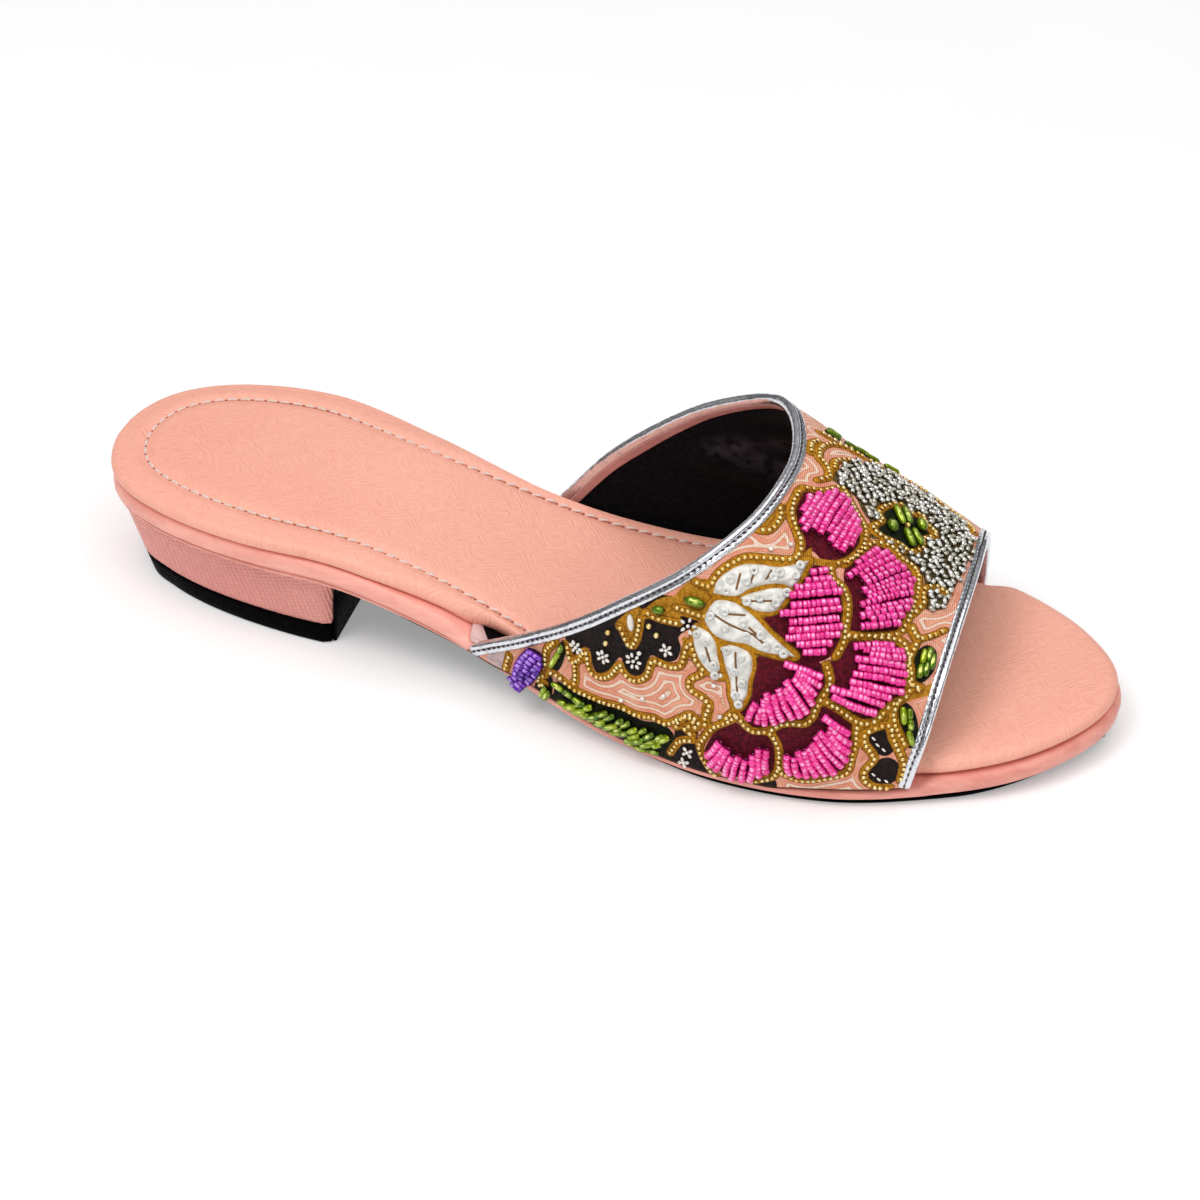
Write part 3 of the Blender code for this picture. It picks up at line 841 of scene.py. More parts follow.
def sole_grid(inset, height):
    """Grid over the whole sole at an inset and a height, from the lateral to the medial side."""
    angle = np.linspace(END_ANGLE, math.pi - END_ANGLE, ROUND_COUNT)
    share = (1 - np.cos(angle)) / 2
    x = share * SOLE_LENGTH
    lateral, medial = half_widths(x)
    side = np.clip(2 * np.sin(angle), 0, 1)
    room = inset(x)
    end = room[0] + (SOLE_LENGTH - room[0] - room[-1]) * share
    near = -(lateral - room * side)
    far = medial - room * side
    y = near[:, None] + (far - near)[:, None] * cosine_shares(ACROSS_COUNT)
    return np.stack(np.broadcast_arrays(end[:, None], y, height(x)[:, None]), axis=-1).copy()


def rim_of(grid):
    """Points round the border of a grid."""
    return np.concatenate((grid[:, 0], grid[-1, 1:], grid[-2::-1, -1], grid[0, -2:0:-1]))


def slab(levels, over, under):
    """Closed slab: a grid on top, a grid below, and border rings at the levels between."""
    rings = np.array([rim_of(grid) for grid in levels])
    points, faces = tube(rings)
    faces = faces[:-2]
    for grid in (over, under):
        faces.extend(grid_faces(ROUND_COUNT, ACROSS_COUNT, len(points)).tolist())
        points = np.concatenate((points, grid.reshape(-1, 3)))
    return points, faces


def round_section(bulge):
    """Half ellipse: share of the height from -1 to 1, inset, and no crease."""
    turns = np.radians((-90, -66, -44, -22, 0, 22, 44, 66, 90))
    return [(math.sin(turn), bulge * (1 - math.cos(turn)), 0.0) for turn in turns]


# Section of the band from its foot to its top: share of the height, inset, depth of the crease
BAND_SECTION = (
    (-1.0, 1.7, 0.0), (-0.94, 0.95, 0.0), (-0.84, 0.5, 0.15), (-0.70, 0.3, 0.3), (-0.60, 0.2, 1.1),
    (-0.50, 0.15, 1.4), (-0.41, 0.1, 0.8), (-0.28, 0.05, 0.0), (-0.1, 0.0, 0.0), (0.2, 0.02, 0.0),
    (0.5, 0.2, 0.0), (0.75, 0.55, 0.0), (0.93, 1.05, 0.0), (1.0, 1.7, 0.0),
)
CREASE_END = 170.0
CREASE_FADE = 50.0


def padded_slab(inset, under, over, section, rim_shape, relief=None):
    """Slab with a rounded rim that may be creased from heel to waist, and relief on its top."""
    levels = []
    for rise, tuck, crease in section:
        def room(x, tuck=tuck, crease=crease):
            return inset(x) + tuck + crease * ease((CREASE_END - x) / CREASE_FADE)

        def height(x, rise=rise):
            return (under(x) + over(x)) / 2 + (over(x) - under(x)) / 2 * rise

        grid = sole_grid(room, height)
        rim_shape(grid, rise)
        levels.append(grid)
    top = levels[-1]
    if relief is not None:
        top[..., 2] += relief(top.reshape(-1, 3)).reshape(top.shape[:2])
    return slab(levels, top, levels[0])


def outline_path(inset):
    """Path round the sole at a distance inside its edge, from toe to toe over the heel."""
    x = cosine_shares(BORDER_COUNT, BORDER_END) * SOLE_LENGTH
    lateral, medial = half_widths(x)
    border = np.concatenate((np.column_stack((x, -lateral))[::-1], np.column_stack((x, medial))))
    run = unit(np.gradient(border, axis=0))
    return border + np.column_stack((run[:, 1], -run[:, 0])) * inset


STITCH_INSET = 8.4
STITCH_END = 150.0
STITCH_PITCH = 3.3
STITCH_SIZE = (2.5, 0.78, 0.65)
STITCH_LIFT = 0.25
HOLE_SIZE = (0.9, 0.6, 0.3)
HOLE_LIFT = -0.03


def stitch_path():
    path = outline_path(STITCH_INSET)
    return spline(path[path[:, 0] < STITCH_END][::14], step=0.5)


STITCH_PATH = stitch_path()
PAD_BULGE = 1.9
FLAT_RIM = 2.4
CROWN_RUN = 3.5
TROUGH_WIDTH = 1.25
SWAY = 0.12


def pad_relief(points):
    """Padded top: crowned, soft at the rim, with a trough along the stitches."""
    flat = points[:, :2]
    to_edge = distance_to(flat, [outline_path(0.0)])
    to_stitch = distance_to(flat, [STITCH_PATH])
    crown = PAD_CROWN * (1 - np.exp(-np.maximum(to_edge - FLAT_RIM, 0) / CROWN_RUN))
    trough = -PAD_TROUGH * np.exp(-(to_stitch / TROUGH_WIDTH) ** 2)
    sway = SWAY * np.sin(flat[:, 0] / 11.0 + 1.3 * np.sin(flat[:, 1] / 9.0))
    return crown + trough + sway * ease((to_edge - 2) / 6)


def pad_inset(x):
    """Distance of the pad from the edge of the sole: flush at the heel, drawn in before the upper starts."""
    bare = PAD_INSET_AT_HEEL + (PAD_INSET - PAD_INSET_AT_HEEL) * ease((x - 40) / 50)
    covered = ease((x - 74) / 32) * ease((RECESS_END - x) / RECESS_RAMP)
    return bare + (PAD_INSET_UNDER_UPPER - bare) * covered


# Cut in the pad beside the collar's lateral end
CUT_START = 98.0
CUT_END = 126.0
CUT_DEPTH = 3.4
CUT_SLOPE = 1.6
CUT_REACH = 25.0


def pad_corner(grid, rise):
    """Pad cut back where the lateral end of the collar is tucked in, most at its foot."""
    x = grid[..., 0]
    from_edge = grid[..., 1] + half_widths(x)[0]
    along = ease((x - CUT_START) / 12) * ease((CUT_END - x) / 14)
    grid[..., 1] += (CUT_DEPTH - CUT_SLOPE * rise) * along * np.clip(1 - from_edge / CUT_REACH, 0, 1)


def pad_under(x):
    return board_over(x) + GAP


def pad_over(x):
    """Top of the pad before its relief."""
    return board_full(x) + GAP + PAD_TOP


def trough_floor(x):
    return pad_over(x) + PAD_CROWN - PAD_TROUGH


def build_insole():
    """Padded sock, crowned and quilted by its line of stitches."""
    form = padded_slab(pad_inset, pad_under, pad_over, round_section(PAD_BULGE), pad_corner, pad_relief)
    pad = add_piece("insole_pad", form, "insole", merge=True)
    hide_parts("insole")


def build_insole_stitches():
    """Pale dashes that dip into the trough, with a dark dot of painted shade in the hole between each two.
    """
    far = lengths_along(STITCH_PATH)
    at = np.arange(STITCH_PITCH, far[-1] - 1, STITCH_PITCH)
    spots = points_at(at, far, STITCH_PATH)
    ahead = points_at(at + 0.8, far, STITCH_PATH)
    along = np.column_stack((ahead - spots, board_full(ahead[:, 0]) - board_full(spots[:, 0])))
    up = np.tile((0.0, 0.0, 1.0), (len(at), 1))
    centres = np.column_stack((spots, trough_floor(spots[:, 0]) + STITCH_LIFT))
    bars = scattered(STITCH_BAR, centres, along, up, np.tile(STITCH_SIZE, (len(at), 1)))
    add_piece("insole_stitches", bars, "stitch")
    # dark dots of painted shade, one in each stitch hole
    centres[:, :2] += 0.5 * STITCH_PITCH * unit(along)[:, :2]
    centres[:, 2] = trough_floor(centres[:, 0]) + HOLE_LIFT
    holes = scattered(ROUND_DOT, centres, along, up, np.tile(HOLE_SIZE, (len(at), 1)))
    add_piece("insole_stitch_holes", holes, "hole")


PULL_DEPTH = 0.16
PULL_CENTRE = 30.0
PULL_END = 62.0


def heel_pulls(grid, rise):
    """Small pulls where the band's leather turns round the heel, strongest half way up the band."""
    x = grid[..., 0]
    turn = np.arctan2(grid[..., 1], x - PULL_CENTRE)
    fold = np.sin(turn * 61 + 2 * np.sin(turn * 13)) * np.sin(turn * 17 + 1) ** 2
    grid[..., 2] += PULL_DEPTH * (1 - abs(rise)) * fold * ease((PULL_END - x) / 30)


def build_sole_band():
    """Board wrapped in leather."""
    form = padded_slab(np.zeros_like, board_under, board_over, BAND_SECTION, heel_pulls)
    band = add_piece("sole_band", form, "band", merge=True)
    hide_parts("sole_board")


WRAP_RINGS = 14
WRAP_ROUND = 0.25
BREAST_ROUND = 0.9
BREAST_ROUND_RUN = 1.2
# Rings of the rubber tip: height, growth
TIP_RINGS = ((0.0, -0.7), (0.25, -0.25), (0.7, 0.0), (2.5, 0.05), (4.6, 0.05), (5.4, 0.0),
             (TOP_PIECE, -0.3))


def on_heel(z, at_floor, at_top):
    """Size of the heel at a height, from its sizes at the floor and at the top."""
    return at_floor + (at_top - at_floor) * z / HEEL_LIFT


def heel_ring(z, grow):
    """D-shaped ring of the heel at a height. Its straight side, the breast, leads on the lateral side."""
    back = on_heel(z, HEEL_BACK_AT_FLOOR + HEEL_TUCK_AT_FLOOR, HEEL_BACK_AT_TOP + HEEL_TUCK_AT_TOP)
    side = on_heel(z, HEEL_SIDE_AT_FLOOR, HEEL_SIDE_AT_TOP)
    lead = on_heel(z, BREAST_LEAD_AT_FLOOR, BREAST_LEAD_AT_TOP)
    full = on_heel(z, LATERAL_FULLNESS, 0.0)
    along = np.linspace(0.03, 1, 60) ** 2
    halves = []
    for column, way, breast, inset in ((0, -1, HEEL_BREAST + lead, side - full), (1, 1, HEEL_BREAST, side)):
        x = back - grow + (breast - back + grow) * along
        blunt = 1 + 0.5 * np.exp(-(x - back) / 9)
        half = half_widths(np.maximum((x - back) * blunt, 0.05))[column]
        room = inset * ease((x - back) / 12) + HEEL_WAIST * along - grow
        room += BREAST_ROUND * np.clip((x - breast) / BREAST_ROUND_RUN + 1, 0, 1) ** 2
        height = np.minimum(z, board_under(x) - GAP)
        halves.append(np.column_stack((x, way * (half - room), height)))
    return np.concatenate((halves[0], halves[1][::-1]))


def ladder_caps(rings):
    """Closed mesh over rings, each end closed by steps between its two halves."""
    points, faces = tube(rings)
    faces = faces[:-2]
    count = rings.shape[1]
    for start in (0, (len(rings) - 1) * count):
        for k in range(count // 2 - 1):
            faces.append([start + k, start + k + 1, start + count - 2 - k, start + count - 1 - k])
    return points, faces


def build_heel_wrap():
    heights = np.linspace(TOP_PIECE + GAP, HEEL_LIFT - GAP, WRAP_RINGS)
    grows = np.zeros(WRAP_RINGS)
    grows[[0, -1]] = -WRAP_ROUND
    rings = np.array([heel_ring(z, grow) for z, grow in zip(heights, grows)])
    block = add_piece("heel_wrap", ladder_caps(rings), "heel")
    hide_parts("heel_block")


def build_heel_tip():
    rings = np.array([heel_ring(z, grow) for z, grow in TIP_RINGS])
    piece = add_piece("heel_tip", ladder_caps(rings), "rubber")
    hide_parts("heel_top_piece")


BREAST_FACE = HEEL_BREAST + GAP
BEND_RADIUS = BREAST_BEND + OUTSOLE_THICKNESS
BEND_END = BREAST_FACE + BEND_RADIUS
SHEET_END = SOLE_LENGTH - 2.0
SHEET_FOOT = 0.1
CHAMFER = 0.5
TURNED_THINNING = 0.6


def outsole_line():
    """Side view of the sheet's upper face from toe to heel: place, height, and the way out of that face."""
    toe_to_bend = 1 - np.linspace(0, 1, 130) ** 1.3
    line = [(x, board_under(x) - GAP, 0.0, 1.0) for x in BEND_END + (SHEET_END - BEND_END) * toe_to_bend]
    corner = board_under(BEND_END) - GAP - BEND_RADIUS
    for lean in np.radians(np.linspace(9, 90, 10)):
        out = (-math.sin(lean), math.cos(lean))
        line.append((BEND_END + BEND_RADIUS * out[0], corner + BEND_RADIUS * out[1], *out))
    line.append((BREAST_FACE, SHEET_FOOT, -1.0, 0.0))
    return line


def outsole_ring(x, z, out_x, out_z):
    """Section of the sheet with chamfered edges, thinner and flush with the heel where it is turned down."""
    lateral, medial = half_widths(min(x, SHEET_END - 0.2))
    at_breast = HEEL_SIDE_AT_TOP + HEEL_WAIST
    room = OUTSOLE_INSET + (at_breast - OUTSOLE_INSET) * ease((BEND_END + 20 - x) / 20)
    room += OUTSOLE_ROOM_AT_TOE * ease((x - 222) / 26) + OUTSOLE_ROOM_AT_WAIST * ease((170 - x) / 25)
    full = 0.0
    if x < BREAST_FACE + 0.1:
        room += BREAST_ROUND + on_heel(z, HEEL_SIDE_AT_FLOOR, HEEL_SIDE_AT_TOP) - HEEL_SIDE_AT_TOP
        full = on_heel(z, LATERAL_FULLNESS, 0.0)
    near = max(lateral - room + full, 2)
    far = max(medial - room, 2)
    turned = ease((BEND_END - x) / BEND_RADIUS)
    lead = turned * on_heel(z, BREAST_LEAD_AT_FLOOR, BREAST_LEAD_AT_TOP)
    thick = OUTSOLE_THICKNESS * (1 - TURNED_THINNING * turned)
    ring = []
    for y, down in ((-near, 0), (far, 0), (far - 0.1, thick - CHAMFER), (far - CHAMFER, thick),
                    (CHAMFER - near, thick), (0.1 - near, thick - CHAMFER)):
        ring.append((x - out_x * down + lead * (far - y) / (far + near), y, z - out_z * down))
    return ring


def build_outsole():
    """Thin sheet from the toe to the heel, bent down over the heel's breast."""
    form = tube([outsole_ring(*place) for place in outsole_line()])
    piece = add_piece("outsole_sheet", form, "rubber")
    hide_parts("outsole")


# Chart of the print and the beadwork, read from the photo: station, girth

CELLS = (
    ((180.5, 56), (183, 57.5), (185.5, 55.8), (188.8, 56.2), (191.2, 60), (191.4, 64), (189.8, 68),
     (187, 72.5), (183.7, 76.8), (181, 73.8), (177.5, 73), (176.8, 68), (178, 63.8), (180.3, 60)),
    ((173.5, 42), (178.5, 45), (182, 50), (183.2, 53.8), (186.5, 54.2), (188, 51.3), (190.6, 49),
     (192.3, 45), (193, 40), (193.2, 35.5), (190.5, 32.4), (185.5, 32.4), (181, 34.6), (176.5, 38.8)),
    ((190.3, 54.8), (192, 58), (194, 62.3), (197, 62), (199.5, 59.3), (203, 56.5), (204.6, 51), (205, 45),
     (204.3, 40), (199, 39), (194.8, 39.2), (194.2, 43), (193, 47.5), (191, 50.8)),
    ((194.2, 37.8), (199.5, 37.6), (204.5, 36.4), (207.3, 33), (208.6, 28), (208.4, 24.8), (205.5, 22),
     (203.3, 19.4), (200.5, 19.6), (196, 22), (192.8, 24.8), (193.6, 28), (192.2, 32), (193.6, 34.5)),
    ((176.6, 32.2), (181, 32.6), (184.5, 33), (188, 32.6), (191.2, 31.3), (192.2, 28), (191.5, 24.3),
     (190.3, 20.5), (188.5, 18.2), (185.5, 17.8), (182, 16.3), (178, 14.8), (175, 16.5), (174.6, 19),
     (176, 22), (176.4, 27)),
    ((166.6, 4.5), (168, 9.5), (170, 13), (173, 15.4), (175, 14.8), (178, 13.8), (181, 14.2), (183.2, 11),
     (183.6, 6.5), (182.5, 3), (178, 0.8), (173, 0.2), (168.5, 1.5)),
    ((182, 15.2), (185, 16.9), (189, 17.2), (191, 19.5), (192.8, 22.7), (196, 21), (199.5, 18.4), (200, 14),
     (199.5, 9), (198.6, 6.4), (194, 4.8), (188, 3), (185.3, 5), (184.3, 9), (183.6, 12.5)),
)

# Pink strands of each petal: the line of their outer ends, the line of their inner ends
FANS = (
    (((177.5, 71.5), (179.8, 72.6), (182.2, 75), (183.6, 76.5), (186.5, 72.8), (189.4, 68), (190.5, 65)),
     ((177.9, 66), (180.1, 61.5), (182.8, 61.8), (184, 62.3), (185.7, 59.5), (188.6, 57.6), (189.8, 60))),
    (((186.6, 53.8), (188.8, 50.3), (190.8, 48), (191.8, 45), (192.5, 41.5), (192.6, 38.5), (190.5, 33.6)),
     ((183.3, 52.8), (182.8, 50), (181.2, 47), (180.4, 43.5), (182.4, 40.5), (181.9, 37.6), (186.3, 33.6))),
    (((194.2, 60.8), (196.8, 61.2), (200, 57.8), (203.4, 54), (204.3, 50), (204.8, 46), (203.5, 40.3)),
     ((191.2, 54.8), (191.7, 52.7), (194.4, 50.6), (195.4, 49), (195.4, 46.5), (196.3, 43), (197, 39.6))),
    (((203.5, 36.3), (206, 34), (207, 31.5), (208.2, 28), (208.4, 25.5), (205.5, 23), (202.8, 19.6)),
     ((195.3, 36.2), (199, 34.5), (197, 32.5), (198, 30), (196.4, 27.6), (193.3, 26), (194.3, 24))),
    (((190.9, 29.6), (191.2, 26.5), (190, 22.5), (188.4, 19.4), (184.6, 18), (180.5, 16.5), (175.6, 17.6)),
     ((182.7, 31.5), (185.5, 29.8), (183.6, 28), (182.6, 25.9), (180.2, 24), (179.4, 21.4), (177.6, 22.6))),
    (((167.2, 5.5), (168.2, 3), (170.3, 1.2), (174.5, 0.2), (178.6, 1), (180.8, 2.6), (182, 4.4)),
     ((170.5, 11.2), (172, 9.8), (172.8, 7), (176, 7.4), (178.6, 9), (180.6, 10.4), (182, 9.8))),
    (((198.9, 16.6), (199.4, 13.5), (199, 10.4), (197.6, 7), (193.5, 5), (189.8, 4), (185.8, 5)),
     ((192.2, 20.7), (193.4, 18.2), (191.6, 15.4), (190, 12.6), (188.2, 10.8), (186.6, 9.8),
      (185.2, 10.4))),
)

# Gold bead lines on ochre bands
GOLD_LINES = (
    ((170, -0.9), (168.2, 0.6), (166.6, 3), (165.6, 5.6), (166, 8), (168.6, 12.6), (172.2, 15.4),
     (174, 17), (176, 15), (178, 14), (181, 14.5), (182.7, 13), (184, 10), (184, 5), (183, 2.4),
     (181.2, 1.4), (179.4, 0.6), (177.6, -0.2)),
    ((181.5, 15), (184, 17), (186.5, 17.6), (189, 17.7), (190.5, 19.5), (191, 22), (192, 24.5), (193, 27),
     (192.5, 29.5), (191.5, 31.6)),
    ((192.5, 23.5), (196, 21.5), (199.5, 19), (201.5, 18.3), (204, 19), (206, 22), (209, 24), (209.1, 28),
     (208, 31.5), (207, 34.3), (205, 37), (200, 38), (194, 38.3)),
    ((200, 18), (200.3, 14), (199.9, 10), (199.2, 6), (196, 4.5), (190, 2.8), (185.4, 3.8), (184.2, 6)),
    ((176.5, 73), (176.3, 68), (177, 65), (179, 61.5), (180.4, 58.5), (180.5, 55.5)),
    ((188, 55), (190.5, 57), (192, 60.5), (192, 64), (190.5, 68), (188, 71.8), (185.6, 75.6), (183.6, 78),
     (180.6, 75), (177, 74)),
    ((187.3, 54.3), (188.4, 51.6), (191, 49.5), (192.6, 46.5), (193.4, 43), (193.7, 40), (194, 37),
     (193.2, 33.6)),
    ((194, 38.5), (199, 38.4), (204, 38.8), (205.2, 41), (205.5, 45), (205.4, 51), (203.6, 57),
     (200.2, 59.8), (198.3, 62.3), (195.6, 63.3), (193.6, 62.6), (192, 59), (190, 55.4)),
    ((126.5, 7.5), (129, 8), (133, 7), (137, 7.5), (141, 8), (145, 9), (150, 9), (154, 10), (157, 9.6),
     (160, 12), (163, 14.4), (165.4, 12.4)),
    ((131.2, 18.5), (132.4, 14.6), (134.2, 16), (136.2, 19.6), (137.2, 15.3), (139.4, 14.3), (142.5, 16.5),
     (144.8, 20.6), (145.6, 19.4), (148.3, 18), (151.6, 20.4), (153, 25), (156.5, 25), (159.8, 26.2),
     (160.6, 30.5), (161.6, 32.2), (163.3, 28.4), (165.3, 26.2), (162.4, 23.4), (162.6, 21), (166, 19.6),
     (167.4, 18), (166.6, 15.2), (166.8, 12.6)),
    ((133.3, 8.4), (133.6, 11), (133.3, 14.6)),
    ((125.6, 8.6), (125.8, 13), (128.2, 17.2)),
    ((171.2, 15.6), (172.6, 17.6), (174, 17)),
    ((160.6, 46.4), (164, 46.2), (165, 48.8), (167.3, 51.6), (170.4, 53.8), (175, 54.3), (179, 54.6),
     (180.6, 55.6)),
    ((157, 39.6), (160, 39.6), (164.6, 39.2)),
    ((150.2, 36.4), (153.6, 35.8), (158.4, 36.2)),
    ((144.2, 30.6), (147, 26.6), (148.6, 29), (149.2, 34.6)),
    ((171.6, 60.4), (173.6, 60.8), (174.8, 64), (174, 67)),
    ((202.2, 13.4), (202, 15.6), (203.9, 17), (206.6, 17.4), (207.9, 14.4), (209.6, 11), (210.9, 7.6),
     (210.6, 3.2)),
    ((202.2, 13.4), (204.2, 10.6), (204.6, 9), (203, 6.6), (203, 4), (205.2, 1.9), (208.4, 1.4)),
    ((207.4, 23), (207.2, 20), (208.4, 16.4), (210.6, 12.4)),
    ((208.4, 36.6), (207.8, 31), (209, 27), (211.4, 25.4)),
    ((206.2, 44), (207.2, 47), (206.6, 51), (208.4, 52.6), (211.4, 50.4)),
    ((206.4, 40.6), (208.4, 37.6), (211, 38.2), (213, 39.6)),
    ((179, 78), (180.6, 80.4), (179.4, 83.6), (177.2, 86), (176.6, 90), (177.8, 94), (181.6, 97.6)),
    ((182.6, 90.6), (180.4, 87.4), (180.8, 83.6)),
    ((158.2, 1.4), (159.4, 4), (161, 6.4), (163.8, 7.4)),
    ((159.6, 9.4), (160.8, 12.6), (163.2, 13.6), (164.6, 11)),
    ((163.4, 11.6), (161.8, 10.2), (163.6, 8.8)),
    ((115.8, 4.6), (115.2, 1.8), (114.6, -0.8)),
    ((125.4, 5.8), (123.6, 3.8), (124.2, 1.8), (125.4, 3.2)),
    ((174.6, 97.6), (177.4, 97), (180.6, 96.4), (184.4, 95.8)),
    ((175.4, 92.6), (174.6, 89.6), (175.4, 86.4)),
    ((185, 95.4), (190, 95), (196, 93.8), (200.4, 90.4), (205.4, 86.2), (208.8, 82.4), (211, 78)),
)
MOTIF_RING = ((193.3, 76.8), (195.6, 79), (198, 76.6), (200.2, 77.4), (201.8, 74.5), (204.6, 70.8),
              (202.6, 68.2), (203.2, 64.6), (201, 62.8), (198.5, 64.5), (195, 65.6), (192.6, 67.8),
              (193.6, 71), (192.4, 73.4))
MOTIF_GROUND = ((194.2, 76.4), (195.6, 77.8), (198, 75.4), (200, 76), (201, 73.8), (203.4, 70.6),
                (201.6, 68.2), (202.2, 64.8), (200.8, 63.8), (198.6, 65.6), (195.4, 66.8), (193.8, 68.2),
                (194.7, 71), (193.5, 73.4))

DARK_GROUNDS = (
    ((130.5, 22), (132.3, 15.8), (133.6, 16.2), (135.8, 19.8), (136.8, 20.8), (138.2, 16), (139.6, 15.4),
     (142, 17.5), (144.2, 21.8), (145.2, 22.6), (145.9, 20.4), (148.4, 19.2), (151, 21.2), (152, 25.5),
     (153, 26.4), (156.2, 26), (158.6, 27.2), (159.4, 30.5), (158.6, 33), (161, 35.6), (163, 37.4),
     (157, 42), (146, 38), (136, 29)),
    ((155.6, -2.4), (158.2, 1), (159.4, 4.4), (159.2, 8.4), (160, 12), (162.4, 14.2), (164.8, 12.4),
     (165, 6), (166.4, 2), (168.4, -0.6), (170, -2.4)),
    ((176.4, -1.6), (178, -0.8), (181, 0.6), (183.4, 1.6), (184, -0.4), (183.6, -1.6)),
    ((122.4, 0.2), (123.8, 3.6), (125.4, 6.2), (127.4, 6), (127.2, 1.4), (126.4, -1.4), (123, -1.4)),
    ((202.9, 13.6), (202.8, 15.2), (204.4, 16.2), (206.2, 16.6), (207, 14.6), (208.6, 11.6), (207, 9.9),
     (204.6, 11.2)),
    ((203.8, 5), (204.8, 8.4), (207.4, 9.6), (209.8, 7.8), (210, 4), (208.2, 2.2), (205.4, 2.8)),
)
LEAFY_GROUNDS = (
    ((126.6, -2.4), (127.5, 1.5), (128.5, 6), (133, 6.2), (138, 6.6), (143, 7.6), (147, 8.1), (151, 7.8),
     (155, 8.9), (158, 8.2), (160, 5), (158.5, 0.6), (157, -2.4)),
    ((208.3, 29), (208.6, 33.5), (210.5, 35.8), (212.8, 34), (213.4, 29.5), (211.8, 26.6), (209.5, 26.8)),
    ((207.5, 20.5), (208.5, 22.6), (210.8, 21), (212.6, 17), (213, 12.5), (211.5, 11.5), (209.5, 14.5),
     (208, 17.5)),
    ((126.6, 9), (128, 14), (130, 19), (131.2, 18), (130, 12), (128.3, 8.5)),
)
PURPLE_GROUNDS = (
    ((117, -1), (117.4, 3.6), (119.4, 8), (121.4, 10.6), (124.8, 10.8), (125, 7.6), (123.4, 4), (121, -1)),
)
PALE_GROUNDS = (
    ((109.6, -1.5), (110.6, 1.2), (113.2, 3.4), (115.4, 4.6), (114.9, 1.8), (114.2, -1.5)),
)
OCHRE_FILLS = (
    ((199.8, 18.6), (202, 18.6), (204.5, 20), (206.5, 22.6), (208.8, 24), (214, 26.2), (214, 23.6),
     (209, 22.2), (206.4, 18), (202.5, 17.2), (201, 15.4), (200.4, 16)),
    ((167.2, 51.4), (170.5, 54), (175, 54.7), (179, 55), (181, 55.9), (182.6, 58.6), (183.4, 56.4),
     (186, 56), (188.8, 56.2), (188.8, 54.4), (184, 54.4), (183.3, 55), (180, 53.2), (174, 52.4),
     (170, 51.8)),
    ((143, 30.2), (144.8, 28.3), (147.5, 25.6), (148.8, 28), (149.9, 31.5), (149.5, 35.8), (147.6, 37),
     (145, 33.5)),
    ((149.6, 35.4), (154, 35.1), (159, 35.7), (157.6, 39), (156.5, 42), (152, 39.6)),
    ((156.6, 38.8), (164.8, 38.2), (165.4, 43), (165, 47.5), (160, 46.6), (157, 43)),
    ((159.2, 33.4), (162.4, 32.6), (161, 30.5), (161.2, 26.6), (159.4, 26.8), (160, 30.5)),
    ((165.6, 12), (165.6, 18), (167.8, 19.8), (168.4, 17), (167.6, 12.4)),
    ((173.6, 59.4), (171.6, 62), (174, 66.5), (176.2, 71), (177, 70), (175.4, 64.4)),
)
SILVER_GROUND = ((208, 45.5), (211.6, 46), (212.2, 52), (212.6, 60), (212.4, 70), (211.2, 74.5),
                 (209.6, 78.5), (207.6, 81.6), (204, 85.2), (199, 89), (195, 92.4), (188, 93.6),
                 (184.3, 92), (182.6, 89), (181.4, 83), (181.2, 80), (184, 78.6), (187, 76.6),
                 (189.5, 72.4), (191.6, 69.6), (193, 64.6), (195.6, 64.4), (200.6, 61), (204.6, 57),
                 (206.4, 52.6), (207, 48.6))

# White leaves: one side and the other, both from base to tip
WHITE_LEAVES = {
    "white_leaf_1": (((165, 44.8), (165.4, 47.6), (167.5, 50.4), (170.5, 52.3), (174, 52.7), (178, 52.8),
                      (182.9, 55.2)),
                     ((165, 44.8), (170, 45), (172.5, 46.9), (176, 48.5), (179, 48.9), (181.6, 48.8),
                      (182.9, 55.2))),
    "white_leaf_2": (((170.8, 44.8), (173, 46.1), (177, 47.7), (179.6, 47.9), (180.9, 46.9)),
                     ((170.8, 44.8), (173.5, 42.9), (176, 42.3), (179, 43), (180.9, 46.9))),
    "white_leaf_3": (((164.7, 41.6), (166, 43.4), (168.5, 43.8), (171, 43.2), (175, 40.8), (178.5, 37.8),
                      (184.9, 33)),
                     ((164.7, 41.6), (164, 38.6), (166.5, 35.7), (170, 34.7), (174, 34.7), (178, 33.4),
                      (184.9, 33))),
    "white_leaf_4": (((163, 36.7), (165.5, 35.8), (167.3, 33.6), (168, 31), (168.9, 28.5), (169.4, 25.8)),
                     ((163, 36.7), (162, 34.8), (162.6, 31.5), (164.5, 28.4), (167, 26.4), (169.4, 25.8))),
    "white_leaf_5": (((170.4, 34), (172.5, 33.8), (175, 32.7), (176, 30), (175.6, 26), (175.6, 22.6),
                      (173.8, 18.8)),
                     ((170.4, 34), (168.5, 32.9), (168.9, 31), (170.4, 28), (171.6, 25), (172.1, 21.8),
                      (173.8, 18.8))),
}
SEQUINS = {"white_leaf_1": 8, "white_leaf_2": 4, "white_leaf_3": 9, "white_leaf_4": 5, "white_leaf_5": 6}
LEAF_VEINS = (
    ((169.8, 46.6), (169.9, 50)), ((172.3, 48.2), (172.8, 51.6)), ((175.4, 49.6), (175.9, 51.6)),
    ((165.4, 40.6), (170, 38.7), (175, 37.2), (178, 35.2)), ((168.8, 41), (172.6, 41.2)),
    ((174, 38.6), (176.8, 36.6)), ((173.2, 44.4), (177.4, 44.9)), ((168.8, 32.2), (169.6, 29), (168.8, 27)),
    ((172, 32.6), (172.8, 28), (173.6, 23.2)), ((165, 33.4), (167, 29)),
)

